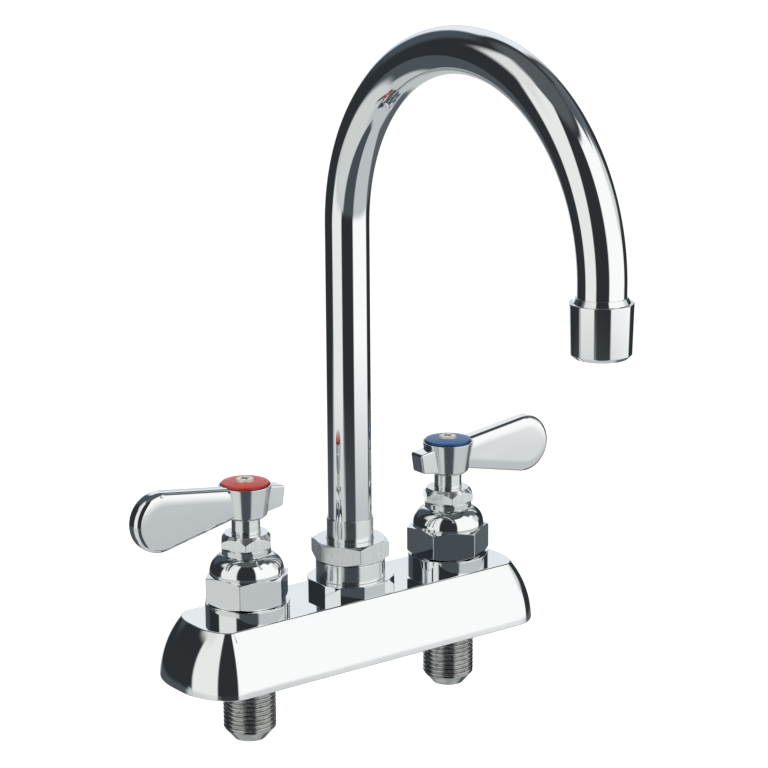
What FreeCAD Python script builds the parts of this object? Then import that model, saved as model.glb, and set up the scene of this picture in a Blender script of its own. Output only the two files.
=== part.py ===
import FreeCAD, Part
import math
import os
import re

import Sketcher

# Two-handle deck-mounted bar sink faucet with a swivelling gooseneck spout.
# Millimetres, +Z up. The origin is the middle of the body's underside, on the spout's axis.
# The user stands at -Y: the hot valve is at -X, the cold valve at +X, and the spout points to -Y.

NODE_FOLDER = "parts"
SIDES = ("hot", "cold")
SIDE_SIGN = {"hot": "-1", "cold": "1"}
# How each hexagon happens to stop when it is tightened, in degrees about its axis
BONNET_TURN = {"hot": 46.4, "cold": 31.6}
PACKING_NUT_TURN = {"hot": 54.9, "cold": 1.5}
SWIVEL_NUT_TURN = 9.4
# A closed lever points away from the spout
LEVER_TURN = {"hot": 180.0, "cold": 0.0}

SIZES = [
    ("valve_spacing", 101.6, "between the valve axes, 4 in centres"),
    ("foot_length", 171.0, "casting at the deck, along X"),
    ("foot_width", 52.6, "casting at the deck, along Y"),
    ("foot_corner", 20.0, "plan radius of the casting's corners at the deck"),
    ("lip_height", 2.0, "upright band round the casting's foot"),
    ("body_height", 24.8, "deck to the casting's flat top"),
    ("side_inset", 9.2, "how far the flat top stands in from the foot"),
    ("body_wall", 3.0, "casting wall"),
    ("boss_height", 5.2, "raised seats on the flat top"),
    ("valve_boss_radius", 17.0, "round seat under each bonnet"),
    ("spout_boss_radius", 18.0, "corners of the seat under the spout"),
    ("spout_boss_corner", 11.0, "half of the angle that each cut corner takes"),
    ("spout_boss_edge", 0.4, "from the spout's seat to the edge of the flat top"),
    ("well_radius", 15.0, "outside of the wells under the flat top"),
    ("well_foot", 3.5, "deck to the underside of a valve well"),
    ("spout_well_foot", 8.0, "deck to the underside of the spout's well"),
    ("spout_chamber_radius", 8.0, "mixing chamber under the spout"),
    ("spout_chamber_floor", 4.0, "floor of the mixing chamber"),
    ("cavity_radius", 12.0, "valve and spout threads in the casting"),
    ("valve_floor_height", 9.0, "deck to the floor of a valve cavity"),
    ("spout_thread_floor", 20.0, "deck to the end of the spout's thread"),
    ("waterway_height", 17.0, "deck to the axis of the cross passage"),
    ("waterway_radius", 4.0, "bore of the cross passage"),
    ("waterway_wall", 3.0, "wall round the cross passage"),
    ("shank_diameter", 21.3, "supply shank, 1/2 in nominal straight pipe thread"),
    ("shank_length", 27.8, "deck to the end of a supply shank"),
    ("shank_bore", 11.0, "water way through a supply shank"),
    ("shank_spigot_radius", 8.0, "end of the shank that is held in the casting"),
    ("shank_cone_height", 4.8, "conical end that takes the supply washer"),
    ("shank_cone_inset", 4.0, "how far the conical end closes in"),
    ("seat_ring_thickness", 1.5, "rubber ring under the cartridge"),
    ("seat_ring_bore", 7.0, "hole in the rubber ring, radius"),
    ("seat_ring_radius", 10.5, "rim of the rubber ring"),
    ("fit_gap", 0.1, "between a dropped-in piece and its bore, radial"),
    ("running_fit", 0.06, "between a turning stem and its bore, radial"),
    ("disc_film", 0.05, "water film between the ceramic discs"),
    ("cartridge_wall", 2.3, "cartridge shell"),
    ("cartridge_floor", 2.0, "floor under the fixed disc"),
    ("cartridge_window_width", 8.0, "outlet windows of the cartridge"),
    ("cartridge_window_height", 3.2, "outlet windows of the cartridge"),
    ("disc_thickness", 3.0, "each ceramic disc"),
    ("disc_port_radius", 2.4, "the two ports through each disc"),
    ("disc_port_reach", 4.4, "port centre from the stem's axis"),
    ("key_width", 3.0, "bar on the stem's foot that turns the moving disc"),
    ("key_length", 11.0, "bar on the stem's foot that turns the moving disc"),
    ("key_depth", 1.0, "slot for the bar in the moving disc"),
    ("key_rise", 1.5, "bar above the moving disc"),
    ("driver_radius", 2.7, "slim foot of the stem, clear of the ports"),
    ("stem_diameter", 11.5, "polished stem between bonnet and lever"),
    ("stem_flange_thickness", 2.2, "flange that keeps the stem in"),
    ("stem_flange_margin", 0.2, "flange inside the bonnet's relief, radial"),
    ("stem_tang", 6.8, "square end inside the lever, across flats"),
    ("stem_tang_height", 7.0, "square end inside the lever"),
    ("ring_groove_depth", 1.3, "groove for the stem's sealing ring"),
    ("ring_height", 1.9, "stem's sealing ring, along the axis"),
    ("ring_level", 33.0, "deck to the stem's sealing ring"),
    ("bonnet_flats", 30.2, "bonnet hexagon across flats"),
    ("bonnet_hex_height", 11.8, "bonnet hexagon, chamfers included"),
    ("bonnet_thread_length", 8.0, "bonnet below its hexagon"),
    ("bonnet_relief_radius", 8.4, "relief inside the bonnet's thread"),
    ("bonnet_relief_height", 8.4, "relief inside the bonnet's thread"),
    ("top_chamfer_drop", 0.8, "bonnet's upper chamfer at the corners"),
    ("foot_chamfer_drop", 1.3, "bonnet's lower chamfer at the corners"),
    ("dome_height", 10.4, "dome above the bonnet hexagon, collar included"),
    ("dome_skirt", 0.9, "upright band between the hexagon and the dome"),
    ("dome_round", 7.8, "radius of the dome's shoulder in section"),
    ("dome_collar_radius", 9.9, "upright collar on top of the dome"),
    ("packing_radius", 8.0, "packing chamber and its thread"),
    ("packing_height", 3.0, "packing ring"),
    ("packing_level", 44.5, "deck to the packing ring"),
    ("packing_nut_flats", 19.3, "packing nut across flats"),
    ("packing_nut_height", 5.3, "packing nut above its washer face"),
    ("washer_face_height", 0.7, "round face under the packing nut"),
    ("washer_face_radius", 9.2, "round face under the packing nut"),
    ("packing_nut_chamfer", 2.7, "packing nut's upper chamfer at the corners"),
    ("packing_nut_crown_radius", 8.7, "round face on top of the packing nut"),
    ("stem_show", 6.6, "stem that shows between nut and lever"),
    ("hub_height", 13.1, "lever hub"),
    ("hub_foot_radius", 8.6, "lever hub at its foot"),
    ("hub_top_radius", 10.7, "lever hub at its rim"),
    ("hub_foot_chamfer", 0.9, "chamfered foot of the hub"),
    ("cap_recess", 1.4, "pocket for the index cap"),
    ("cap_radius", 9.9, "index cap"),
    ("cap_thickness", 3.1, "index cap, to the top of its crown"),
    ("cap_crown", 0.7, "rise of the cap from its rim to the screw"),
    ("screw_recess", 1.2, "pocket in the cap for the screw head"),
    ("screw_head_radius", 3.9, "lever screw head"),
    ("screw_head_height", 1.9, "lever screw head"),
    ("screw_radius", 2.0, "lever screw, M4"),
    ("screw_length", 14.0, "lever screw under its head"),
    ("cross_slot_width", 0.9, "cross recess in the screw"),
    ("cross_slot_length", 4.4, "cross recess in the screw"),
    ("cross_slot_depth", 1.0, "cross recess in the screw"),
    ("lever_reach", 52.4, "stem axis to the lever's tip"),
    ("lever_thickness", 8.0, "lever blade"),
    ("lever_round", 3.0, "rounded rim of the blade"),
    ("lever_tip_radius", 12.2, "paddle end of the blade"),
    ("lever_tip_rise", 5.4, "hub foot to the middle of the paddle end"),
    ("lever_root", 6.0, "where the blade starts inside the hub"),
    ("lever_root_low", 0.5, "lower edge of the blade above the hub's foot"),
    ("tail_reach", 16.8, "stem axis to the end of the short tail"),
    ("tail_thickness", 7.4, "short tail behind the hub"),
    ("tail_drop", 1.2, "hub's rim to the root of the tail's top"),
    ("tail_slope", 1.6, "fall of the tail's top and the rise of its foot"),
    ("tail_lean", 1.3, "how far the tail's end leans in at its foot"),
    ("neck_radius", 14.3, "collar under the swivel nut"),
    ("neck_height", 7.7, "collar under the swivel nut"),
    ("nose_radius", 13.0, "thread that the swivel nut screws on"),
    ("nose_height", 4.7, "thread that the swivel nut screws on"),
    ("swivel_nut_flats", 28.6, "swivel nut across flats"),
    ("swivel_nut_height", 8.1, "swivel nut"),
    ("swivel_nut_lip", 1.4, "lip that keeps the spout in"),
    ("swivel_nut_top_drop", 1.0, "upper chamfer at the corners"),
    ("swivel_nut_foot_drop", 1.6, "lower chamfer at the corners"),
    ("ferrule_radius", 10.8, "lower end of the spout, in the nipple's bore"),
    ("ferrule_flange_radius", 12.5, "flange under the swivel nut's lip"),
    ("ferrule_flange_height", 1.2, "flange under the swivel nut's lip"),
    ("ferrule_show_radius", 9.6, "sleeve that shows above the swivel nut"),
    ("ferrule_show_height", 9.1, "sleeve that shows above the swivel nut"),
    ("ferrule_depth", 11.0, "ferrule below its flange"),
    ("ferrule_ledge", 1.5, "end of the ferrule below the tube's end"),
    ("seal_groove_depth", 1.1, "groove for the spout's sealing ring"),
    ("seal_height", 2.4, "spout's sealing ring, along the axis"),
    ("seal_rise", 4.0, "end of the ferrule to its sealing ring"),
    ("tube_diameter", 18.0, "gooseneck tube"),
    ("tube_wall", 1.2, "gooseneck tube"),
    ("spout_reach", 150.8, "swivel axis to the outlet's axis"),
    ("arch_height", 175.7, "deck to the centre of the gooseneck's arc"),
    ("bush_radius", 10.3, "threaded bush on the tube's end"),
    ("bush_flare_height", 1.9, "flare of the bush above the aerator"),
    ("bush_flare_gap", 0.35, "rim of the bush outside the tube at the flare's top"),
    ("bush_ledge", 1.7, "end of the bush below the tube's end"),
    ("aerator_drop", 5.4, "centre of the gooseneck's arc to the aerator's rim"),
    ("aerator_height", 19.8, "aerator shell"),
    ("aerator_top_radius", 11.6, "aerator shell at its rim"),
    ("aerator_foot_radius", 11.1, "aerator shell at its mouth"),
    ("aerator_foot_chamfer", 1.4, "chamfered mouth of the shell"),
    ("aerator_ledge_radius", 8.2, "ledge that holds the screen"),
    ("aerator_ledge_height", 1.0, "ledge that holds the screen"),
    ("aerator_bore_radius", 9.4, "shell below its thread"),
    ("aerator_seal_height", 1.5, "rubber ring under the bush"),
    ("aerator_seal_bore", 7.4, "rubber ring under the bush"),
    ("mixer_height", 8.0, "plastic mixer in the aerator"),
    ("mixer_hole_radius", 1.1, "jets of the mixer"),
    ("mixer_hole_reach", 5.6, "jets of the mixer, from the axis"),
    ("mixer_cup_radius", 7.6, "hollow under the mixer's jets"),
    ("mixer_plate", 2.0, "plate with the jets"),
    ("screen_thickness", 0.8, "outlet screen"),
    ("screen_slot", 1.1, "slots of the outlet screen"),
    ("screen_pitch", 2.4, "between the slots of the outlet screen"),
]
MIXER_JETS = 6
SCREEN_SLOTS = 5

LEVELS = [
    ("side_round", "(body_height - lip_height) ^ 2 / (2 * side_inset) + side_inset / 2"),
    ("top_width", "foot_width - 2 * side_inset"),
    ("boss_top", "body_height + boss_height"),
    ("shank_radius", "shank_diameter / 2"),
    ("shank_bore_radius", "shank_bore / 2"),
    ("cartridge_foot", "valve_floor_height + seat_ring_thickness"),
    ("cartridge_radius", "cavity_radius - fit_gap"),
    ("cartridge_bore", "cartridge_radius - cartridge_wall"),
    ("cartridge_top", "boss_top - bonnet_thread_length"),
    ("disc_foot", "cartridge_foot + cartridge_floor"),
    ("disc_joint", "disc_foot + disc_thickness"),
    ("moving_disc_foot", "disc_joint + disc_film"),
    ("stem_foot", "moving_disc_foot + disc_thickness"),
    ("relief_top", "cartridge_top + bonnet_relief_height"),
    ("stem_flange_top", "relief_top - disc_film"),
    ("stem_flange_radius", "bonnet_relief_radius - stem_flange_margin"),
    ("disc_radius", "cartridge_bore - fit_gap"),
    ("stem_radius", "stem_diameter / 2"),
    ("stem_bore", "stem_radius + running_fit"),
    ("ring_groove_radius", "stem_radius - ring_groove_depth"),
    ("bonnet_corner", "bonnet_flats / sqrt(3)"),
    ("dome_radius", "bonnet_flats / 2"),
    ("shoulder", "boss_top + bonnet_hex_height"),
    ("dome_top", "shoulder + dome_height"),
    ("dome_spring", "shoulder + dome_skirt"),
    ("dome_collar_foot", "dome_spring + sqrt(dome_round ^ 2 - (dome_collar_radius - dome_radius + dome_round) ^ 2)"),
    ("packing_top", "packing_level + packing_height"),
    ("packing_nut_corner", "packing_nut_flats / sqrt(3)"),
    ("packing_nut_foot", "dome_top + washer_face_height"),
    ("packing_nut_top", "packing_nut_foot + packing_nut_height"),
    ("hub_foot", "packing_nut_top + stem_show"),
    ("hub_top", "hub_foot + hub_height"),
    ("cap_seat", "hub_top - cap_recess"),
    ("cap_top", "cap_seat + cap_thickness"),
    ("cap_rim", "cap_top - cap_crown"),
    ("head_pocket_radius", "screw_head_radius + fit_gap"),
    ("cap_round", "(cap_radius - head_pocket_radius) ^ 2 / (2 * cap_crown) + cap_crown / 2"),
    ("cap_pocket_radius", "cap_radius + running_fit"),
    ("tang_top", "hub_foot + stem_tang_height"),
    ("screw_seat", "cap_top - screw_recess"),
    ("screw_top", "screw_seat + screw_head_height"),
    ("screw_foot", "screw_seat - screw_length"),
    ("neck_top", "boss_top + neck_height"),
    ("nose_top", "neck_top + nose_height"),
    ("swivel_nut_corner", "swivel_nut_flats / sqrt(3)"),
    ("swivel_nut_foot", "neck_top + fit_gap"),
    ("swivel_nut_top", "swivel_nut_foot + swivel_nut_height"),
    ("lip_foot", "swivel_nut_top - swivel_nut_lip"),
    ("flange_foot", "nose_top + fit_gap"),
    ("flange_top", "flange_foot + ferrule_flange_height"),
    ("ferrule_foot", "flange_foot - ferrule_depth"),
    ("ferrule_top", "swivel_nut_top + ferrule_show_height"),
    ("nipple_bore", "ferrule_radius + running_fit"),
    ("tube_radius", "tube_diameter / 2"),
    ("tube_foot", "ferrule_foot + ferrule_ledge"),
    ("seal_groove_radius", "ferrule_radius - seal_groove_depth"),
    ("seal_foot", "ferrule_foot + seal_rise"),
    ("seal_top", "seal_foot + seal_height"),
    ("arch_radius", "spout_reach / 2"),
    ("aerator_rim", "arch_height - aerator_drop"),
    ("aerator_foot", "aerator_rim - aerator_height"),
    ("screen_foot", "aerator_foot + aerator_ledge_height"),
    ("mixer_foot", "screen_foot + screen_thickness"),
    ("mixer_top", "mixer_foot + mixer_height"),
    ("aerator_seal_top", "mixer_top + aerator_seal_height"),
    ("tube_end", "aerator_seal_top + bush_ledge"),
]
FORMULA_WORDS = {"sqrt", "cos", "sin"}
LEVEL_NAMES = {name for name, _ in LEVELS}

document = FreeCAD.newDocument("bar_sink_faucet")
sizes = document.addObject("Spreadsheet::Sheet", "Sizes")
levels = document.addObject("Spreadsheet::Sheet", "Levels")


def cells(formula):
    """Turn a formula of plain size names into one of spreadsheet cells."""
    def cell(match):
        word = match.group(0)
        if word in FORMULA_WORDS:
            return word
        return f"{'Levels' if word in LEVEL_NAMES else 'Sizes'}.{word}"
    return re.sub(r"[a-z][a-z_]+", cell, formula)


def fill_sheets():
    """The driving sizes, and the levels and radii that follow from them."""
    for row, (alias, size, meaning) in enumerate(SIZES, 1):
        sizes.set(f"A{row}", meaning)
        sizes.set(f"B{row}", str(size))
        sizes.setAlias(f"B{row}", alias)
    document.recompute()
    for row, (alias, formula) in enumerate(LEVELS, 1):
        levels.set(f"A{row}", alias)
        levels.set(f"B{row}", "=" + cells(formula).replace("Levels.", ""))
        levels.setAlias(f"B{row}", alias)
    document.recompute()


def value(formula):
    """The present value of a formula, in millimetres or degrees."""
    return float(document.Sizes.evalExpression(cells(formula)))


# Sketches whose every corner is held by the sheets

SKETCH_ORIGIN = (-1, 1)
SKETCH_AXES = (-1, -2)
START, END, CENTRE = range(1, 4)


def new_body(label):
    """One named piece of the faucet."""
    body = document.addObject("PartDesign::Body", label)
    body.Label = label
    return body


def sketch_on(body, plane, level=None, shift=None):
    """A sketch on one of the body's own planes, raised to a level or shifted along its X."""
    sketch = body.newObject("Sketcher::SketchObject", f"{body.Label}_sketch")
    support = next(item for item in body.Origin.OriginFeatures if item.Role == plane)
    sketch.AttachmentSupport = (support, [""])
    sketch.MapMode = "FlatFace"
    if level:
        sketch.setExpression("AttachmentOffset.Base.z", cells(level))
    if shift:
        sketch.setExpression("AttachmentOffset.Base.x", cells(shift))
    return sketch


def hold(sketch, edge, point, x, y):
    """Hold a point of the sketch at x, y, each a formula."""
    horizontal_axis, vertical_axis = SKETCH_AXES
    for kind, axis, formula in (("DistanceX", vertical_axis, x), ("DistanceY", horizontal_axis, y)):
        if formula == "0":
            sketch.addConstraint(Sketcher.Constraint("PointOnObject", edge, point, axis))
            continue
        held = Sketcher.Constraint(kind, *SKETCH_ORIGIN, edge, point, value(formula))
        index = sketch.addConstraint(held)
        sketch.setExpression(f"Constraints[{index}]", cells(formula))


def hold_radius(sketch, edge, radius):
    """Hold the radius of an arc or circle."""
    index = sketch.addConstraint(Sketcher.Constraint("Radius", edge, value(radius)))
    sketch.setExpression(f"Constraints[{index}]", cells(radius))


def add_arc(sketch, start, end, radius, turn):
    """An arc of the radius from start to end, turning left (+1) or right (-1)."""
    chord = end - start
    middle = start + chord * 0.5
    rise = math.sqrt(max(radius ** 2 - (chord.Length / 2) ** 2, 0.0))
    side = FreeCAD.Vector(-chord.y, chord.x, 0).normalize() * turn
    centre = middle + side * rise
    first, last = (start, end) if turn > 0 else (end, start)
    angles = [math.atan2(point.y - centre.y, point.x - centre.x) for point in (first, last)]
    circle = Part.Circle(centre, FreeCAD.Vector(0, 0, 1), radius)
    return sketch.addGeometry(Part.ArcOfCircle(circle, *angles), False)


def outline(sketch, corners):
    """Draw a closed outline. A corner is x, y or, before an arc, x, y, radius, turn."""
    points = [FreeCAD.Vector(value(corner[0]), value(corner[1]), 0) for corner in corners]
    edges = []
    for index, corner in enumerate(corners):
        start = points[index]
        end = points[(index + 1) % len(corners)]
        if len(corner) == 2:
            edge = sketch.addGeometry(Part.LineSegment(start, end), False)
            edges.append((edge, START, END))
            continue
        radius, turn = corner[2:]
        edge = add_arc(sketch, start, end, value(radius), turn)
        edges.append((edge, START, END) if turn > 0 else (edge, END, START))
        hold_radius(sketch, edge, radius)
    for index, corner in enumerate(corners):
        edge, first, last = edges[index]
        previous, _, previous_last = edges[index - 1]
        sketch.addConstraint(Sketcher.Constraint("Coincident", previous, previous_last, edge, first))
        hold(sketch, edge, first, corner[0], corner[1])


def circle(sketch, radius, x="0", y="0"):
    """Draw a full circle held by its centre and radius."""
    centre = FreeCAD.Vector(value(x), value(y), 0)
    edge = sketch.addGeometry(Part.Circle(centre, FreeCAD.Vector(0, 0, 1), value(radius)), False)
    hold_radius(sketch, edge, radius)
    if x == "0" and y == "0":
        sketch.addConstraint(Sketcher.Constraint("Coincident", edge, CENTRE, *SKETCH_ORIGIN))
    else:
        hold(sketch, edge, CENTRE, x, y)


def hexagon(across_flats):
    """Corners of a hexagon with one corner on the local X axis."""
    return [(f"{across_flats} / sqrt(3) * cos({angle})", f"{across_flats} / sqrt(3) * sin({angle})")
            for angle in range(0, 360, 60)]


# Features

def turned(body, corners, kind="Revolution", level=None, shift=None):
    """Turn an outline of radius and height about a vertical axis, as a solid or a groove."""
    sketch = sketch_on(body, "XZ_Plane", level, shift)
    outline(sketch, corners)
    feature = body.newObject(f"PartDesign::{kind}", f"{body.Label}_{kind.lower()}")
    feature.Profile = sketch
    feature.ReferenceAxis = (sketch, ["V_Axis"])
    feature.Angle = 360.0
    return feature


def raised(body, sketch, length, symmetric=False, kind="Pad"):
    """Pad or pocket a sketch by a length, to one side or half to each side."""
    feature = body.newObject(f"PartDesign::{kind}", f"{body.Label}_{kind.lower()}")
    feature.Profile = sketch
    feature.SideType = "Symmetric" if symmetric else "One side"
    feature.setExpression("Length", cells(length))
    return feature


def cut(body, sketch, length, symmetric=False):
    """Pocket a sketch, downwards from it or half to each side."""
    return raised(body, sketch, length, symmetric, kind="Pocket")


def mill_hexagon(body, across_flats, low, high):
    """Mill six flats into a turned blank between two levels."""
    sketch = sketch_on(body, "XY_Plane", high)
    circle(sketch, across_flats)
    outline(sketch, hexagon(across_flats))
    return cut(body, sketch, f"{high} - {low}")


def ring(label, inner, outer, low, high):
    """A plain turned ring between two radii and two levels."""
    body = new_body(label)
    turned(body, [(inner, low), (outer, low), (outer, high), (inner, high)])
    return body


def place(body, side=None, angle=0.0):
    """Stand a piece on its valve axis, or on the spout's, turned by an angle."""
    body.Placement = FreeCAD.Placement(FreeCAD.Vector(), FreeCAD.Rotation(FreeCAD.Vector(0, 0, 1), angle))
    if side:
        body.setExpression("Placement.Base.x", cells(f"{SIDE_SIGN[side]} * valve_spacing / 2"))
    return body


# The casting

def mirrored(corners):
    """The corners of one half outline and of its mirror image across the vertical axis."""
    image = []
    for index, corner in enumerate(reversed(corners)):
        before_arc = corners[len(corners) - 2 - index][2:] if index < len(corners) - 1 else ()
        image.append((f"-{corner[0]}", corner[1], *before_arc))
    return corners + image


def walls(body, section, revolved, padded):
    """A rounded box with one wall section all round: two bars and four turned corners."""
    flat_x, flat_y = "(foot_length / 2 - foot_corner)", "(foot_width / 2 - foot_corner)"
    for plane, half, length in (("YZ_Plane", "foot_width / 2", flat_x), ("XZ_Plane", "foot_length / 2", flat_y)):
        sketch = sketch_on(body, plane)
        outline(sketch, mirrored(section(half)))
        raised(body, sketch, f"2 * {length}", symmetric=True, kind=padded)
    for sign_x in ("-", ""):
        for sign_y in ("-", ""):
            corners = [("0", "0"), *section("foot_corner"), ("0", section("foot_corner")[-1][1])]
            turned(body, corners, revolved, level=f"{sign_y}{flat_y}", shift=f"{sign_x}{flat_x}")


def outer_wall(half):
    """Half section of the casting: an upright lip, then an arc that leans in to the flat top."""
    return [(f"({half})", "0"), (f"({half})", "lip_height", "side_round", 1),
            (f"({half} - side_inset)", "body_height")]


def inner_wall(half):
    """Half section of the hollow under the casting, with straight drafted walls."""
    return [(f"({half} - body_wall)", "0"),
            (f"({half} - body_wall - side_inset)", "body_height - body_wall")]


def twin_circles(sketch, radius):
    """The same circle on both valve axes."""
    for sign in SIDE_SIGN.values():
        circle(sketch, radius, f"{sign} * valve_spacing / 2")


def spout_seat_outline(sketch):
    """Hexagon with its corners cut, flats to the valves, level with the top's long edges."""
    flat = "(spout_boss_radius * cos(30 - spout_boss_corner))"
    edge = "(top_width / 2 - spout_boss_edge)"
    quarter = [
        (flat, "(spout_boss_radius * sin(30 - spout_boss_corner))"),
        ("(spout_boss_radius * cos(30 + spout_boss_corner))", "(spout_boss_radius * sin(30 + spout_boss_corner))"),
        (f"((2 * {flat}) - sqrt(3) * {edge})", edge),
    ]
    right_back = quarter
    left_back = [(f"-{x}", y) for x, y in reversed(quarter)]
    left_front = [(f"-{x}", f"-{y}") for x, y in quarter]
    right_front = [(x, f"-{y}") for x, y in reversed(quarter)]
    outline(sketch, right_back + left_back + left_front + right_front)


def body_casting():
    """Hollow chromed brass casting: domed sides, flat top, wells, seats and cross passage."""
    body = new_body("body_casting")
    walls(body, outer_wall, "Revolution", "Pad")
    walls(body, inner_wall, "Groove", "Pocket")
    wells = sketch_on(body, "XY_Plane", "well_foot")
    twin_circles(wells, "well_radius")
    raised(body, wells, "body_height - body_wall / 2 - well_foot")
    spout_well = sketch_on(body, "XY_Plane", "spout_well_foot")
    circle(spout_well, "well_radius")
    raised(body, spout_well, "body_height - body_wall / 2 - spout_well_foot")
    passage = sketch_on(body, "YZ_Plane")
    circle(passage, "waterway_radius + waterway_wall", "0", "waterway_height")
    raised(body, passage, "valve_spacing", symmetric=True)
    seats = sketch_on(body, "XY_Plane", "body_height - body_wall / 2")
    twin_circles(seats, "valve_boss_radius")
    raised(body, seats, "boss_height + body_wall / 2")
    spout_seat = sketch_on(body, "XY_Plane", "body_height - body_wall / 2")
    spout_seat_outline(spout_seat)
    raised(body, spout_seat, "boss_height + body_wall / 2")

    cavities = sketch_on(body, "XY_Plane", "boss_top")
    twin_circles(cavities, "cavity_radius")
    cut(body, cavities, "boss_top - valve_floor_height")
    sockets = sketch_on(body, "XY_Plane", "valve_floor_height")
    twin_circles(sockets, "shank_spigot_radius")
    cut(body, sockets, "valve_floor_height - well_foot")
    spout_thread = sketch_on(body, "XY_Plane", "boss_top")
    circle(spout_thread, "cavity_radius")
    cut(body, spout_thread, "boss_top - spout_thread_floor")
    chamber = sketch_on(body, "XY_Plane", "spout_thread_floor")
    circle(chamber, "spout_chamber_radius")
    cut(body, chamber, "spout_thread_floor - spout_well_foot - spout_chamber_floor")
    bore = sketch_on(body, "YZ_Plane")
    circle(bore, "waterway_radius", "0", "waterway_height")
    cut(body, bore, "valve_spacing", symmetric=True)
    return body


# One valve: everything from the supply shank to the lever

def supply_shank(side):
    """Threaded tail with a bore and a conical end, held in the casting's socket."""
    body = new_body(f"{side}_supply_shank")
    turned(body, [
        ("shank_bore_radius", "valve_floor_height"), ("shank_spigot_radius", "valve_floor_height"),
        ("shank_spigot_radius", "well_foot"), ("shank_radius", "well_foot"),
        ("shank_radius", "shank_cone_height - shank_length"),
        ("shank_radius - shank_cone_inset", "-shank_length"), ("shank_bore_radius", "-shank_length"),
    ])
    return place(body, side)


def cartridge_shell(side):
    """Brass cup that holds the discs, with two outlet windows."""
    body = new_body(f"{side}_cartridge_shell")
    turned(body, [
        ("seat_ring_bore", "cartridge_foot"), ("cartridge_radius", "cartridge_foot"),
        ("cartridge_radius", "cartridge_top"), ("cartridge_bore", "cartridge_top"),
        ("cartridge_bore", "disc_foot"), ("seat_ring_bore", "disc_foot"),
    ])
    window = sketch_on(body, "YZ_Plane")
    half = "cartridge_window_width / 2"
    outline(window, [
        (f"-{half}", "stem_foot"), (half, "stem_foot"),
        (half, "stem_foot + cartridge_window_height"), (f"-{half}", "stem_foot + cartridge_window_height"),
    ])
    cut(body, window, "2 * cavity_radius", symmetric=True)
    return place(body, side)


def ceramic_disc(label, side, foot, along_x):
    """Ceramic disc with two ports, which lie along X or along Y."""
    body = new_body(label)
    sketch = sketch_on(body, "XY_Plane", foot)
    circle(sketch, "disc_radius")
    for sign in ("1", "-1"):
        reach = f"{sign} * disc_port_reach"
        circle(sketch, "disc_port_radius", *((reach, "0") if along_x else ("0", reach)))
    raised(body, sketch, "disc_thickness")
    return place(body, side)


def key_outline(sketch):
    """Bar across the foot of the stem, between the ports of the moving disc."""
    half_width, half_length = "key_width / 2", "key_length / 2"
    outline(sketch, [
        (f"-{half_width}", f"-{half_length}"), (half_width, f"-{half_length}"),
        (half_width, half_length), (f"-{half_width}", half_length),
    ])


def moving_disc(side):
    """Upper ceramic disc, keyed to the stem; its ports are closed at rest."""
    body = ceramic_disc(f"{side}_moving_disc", side, "moving_disc_foot", along_x=True)
    slot = sketch_on(body, "XY_Plane", "stem_foot")
    key_outline(slot)
    cut(body, slot, "key_depth")
    return body


def stem(side):
    """Turned stem: key, flange, sealing groove, square end and a tapped hole for the screw."""
    body = new_body(f"{side}_stem")
    turned(body, [
        ("0", "stem_foot"), ("driver_radius", "stem_foot"),
        ("driver_radius", "stem_flange_top - stem_flange_thickness"),
        ("stem_flange_radius", "stem_flange_top - stem_flange_thickness"),
        ("stem_flange_radius", "stem_flange_top"), ("stem_radius", "stem_flange_top"),
        ("stem_radius", "ring_level"), ("ring_groove_radius", "ring_level"),
        ("ring_groove_radius", "ring_level + ring_height"), ("stem_radius", "ring_level + ring_height"),
        ("stem_radius", "hub_foot"), ("0", "hub_foot"),
    ])
    key = sketch_on(body, "XY_Plane", "stem_foot - key_depth")
    key_outline(key)
    raised(body, key, "key_depth + key_rise")
    tang = sketch_on(body, "XY_Plane", "hub_foot")
    square_outline(tang)
    raised(body, tang, "stem_tang_height")
    tapped = sketch_on(body, "XY_Plane", "tang_top")
    circle(tapped, "screw_radius")
    cut(body, tapped, "tang_top - screw_foot + screw_radius")
    return place(body, side)


def square_outline(sketch):
    """The square on the end of the stem, also the socket in the lever."""
    half = "stem_tang / 2"
    outline(sketch, [(f"-{half}", f"-{half}"), (half, f"-{half}"), (half, half), (f"-{half}", half)])


def bonnet(side):
    """Bonnet: thread, chamfered hexagon, dome and collar, bored for stem and packing."""
    body = new_body(f"{side}_bonnet")
    turned(body, [
        ("bonnet_relief_radius", "cartridge_top"), ("cavity_radius", "cartridge_top"),
        ("cavity_radius", "boss_top"), ("dome_radius", "boss_top"),
        ("bonnet_corner", "boss_top + foot_chamfer_drop"), ("bonnet_corner", "shoulder - top_chamfer_drop"),
        ("dome_radius", "shoulder"), ("dome_radius", "dome_spring", "dome_round", 1),
        ("dome_collar_radius", "dome_collar_foot"), ("dome_collar_radius", "dome_top"),
        ("packing_radius", "dome_top"), ("packing_radius", "packing_level"),
        ("stem_bore", "packing_level"), ("stem_bore", "relief_top"),
        ("bonnet_relief_radius", "relief_top"),
    ])
    mill_hexagon(body, "bonnet_flats", "boss_top", "shoulder")
    return place(body, side, BONNET_TURN[side])


def packing_nut(side):
    """Small chamfered hexagon nut with a thread below, round the stem."""
    body = new_body(f"{side}_packing_nut")
    turned(body, [
        ("stem_bore", "packing_top"), ("packing_radius", "packing_top"),
        ("packing_radius", "dome_top"), ("washer_face_radius", "dome_top"),
        ("washer_face_radius", "packing_nut_foot"), ("packing_nut_corner", "packing_nut_foot"),
        ("packing_nut_corner", "packing_nut_top - packing_nut_chamfer"),
        ("packing_nut_crown_radius", "packing_nut_top"), ("stem_bore", "packing_nut_top"),
    ])
    mill_hexagon(body, "packing_nut_flats", "packing_nut_foot", "packing_nut_top")
    return place(body, side, PACKING_NUT_TURN[side])


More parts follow.
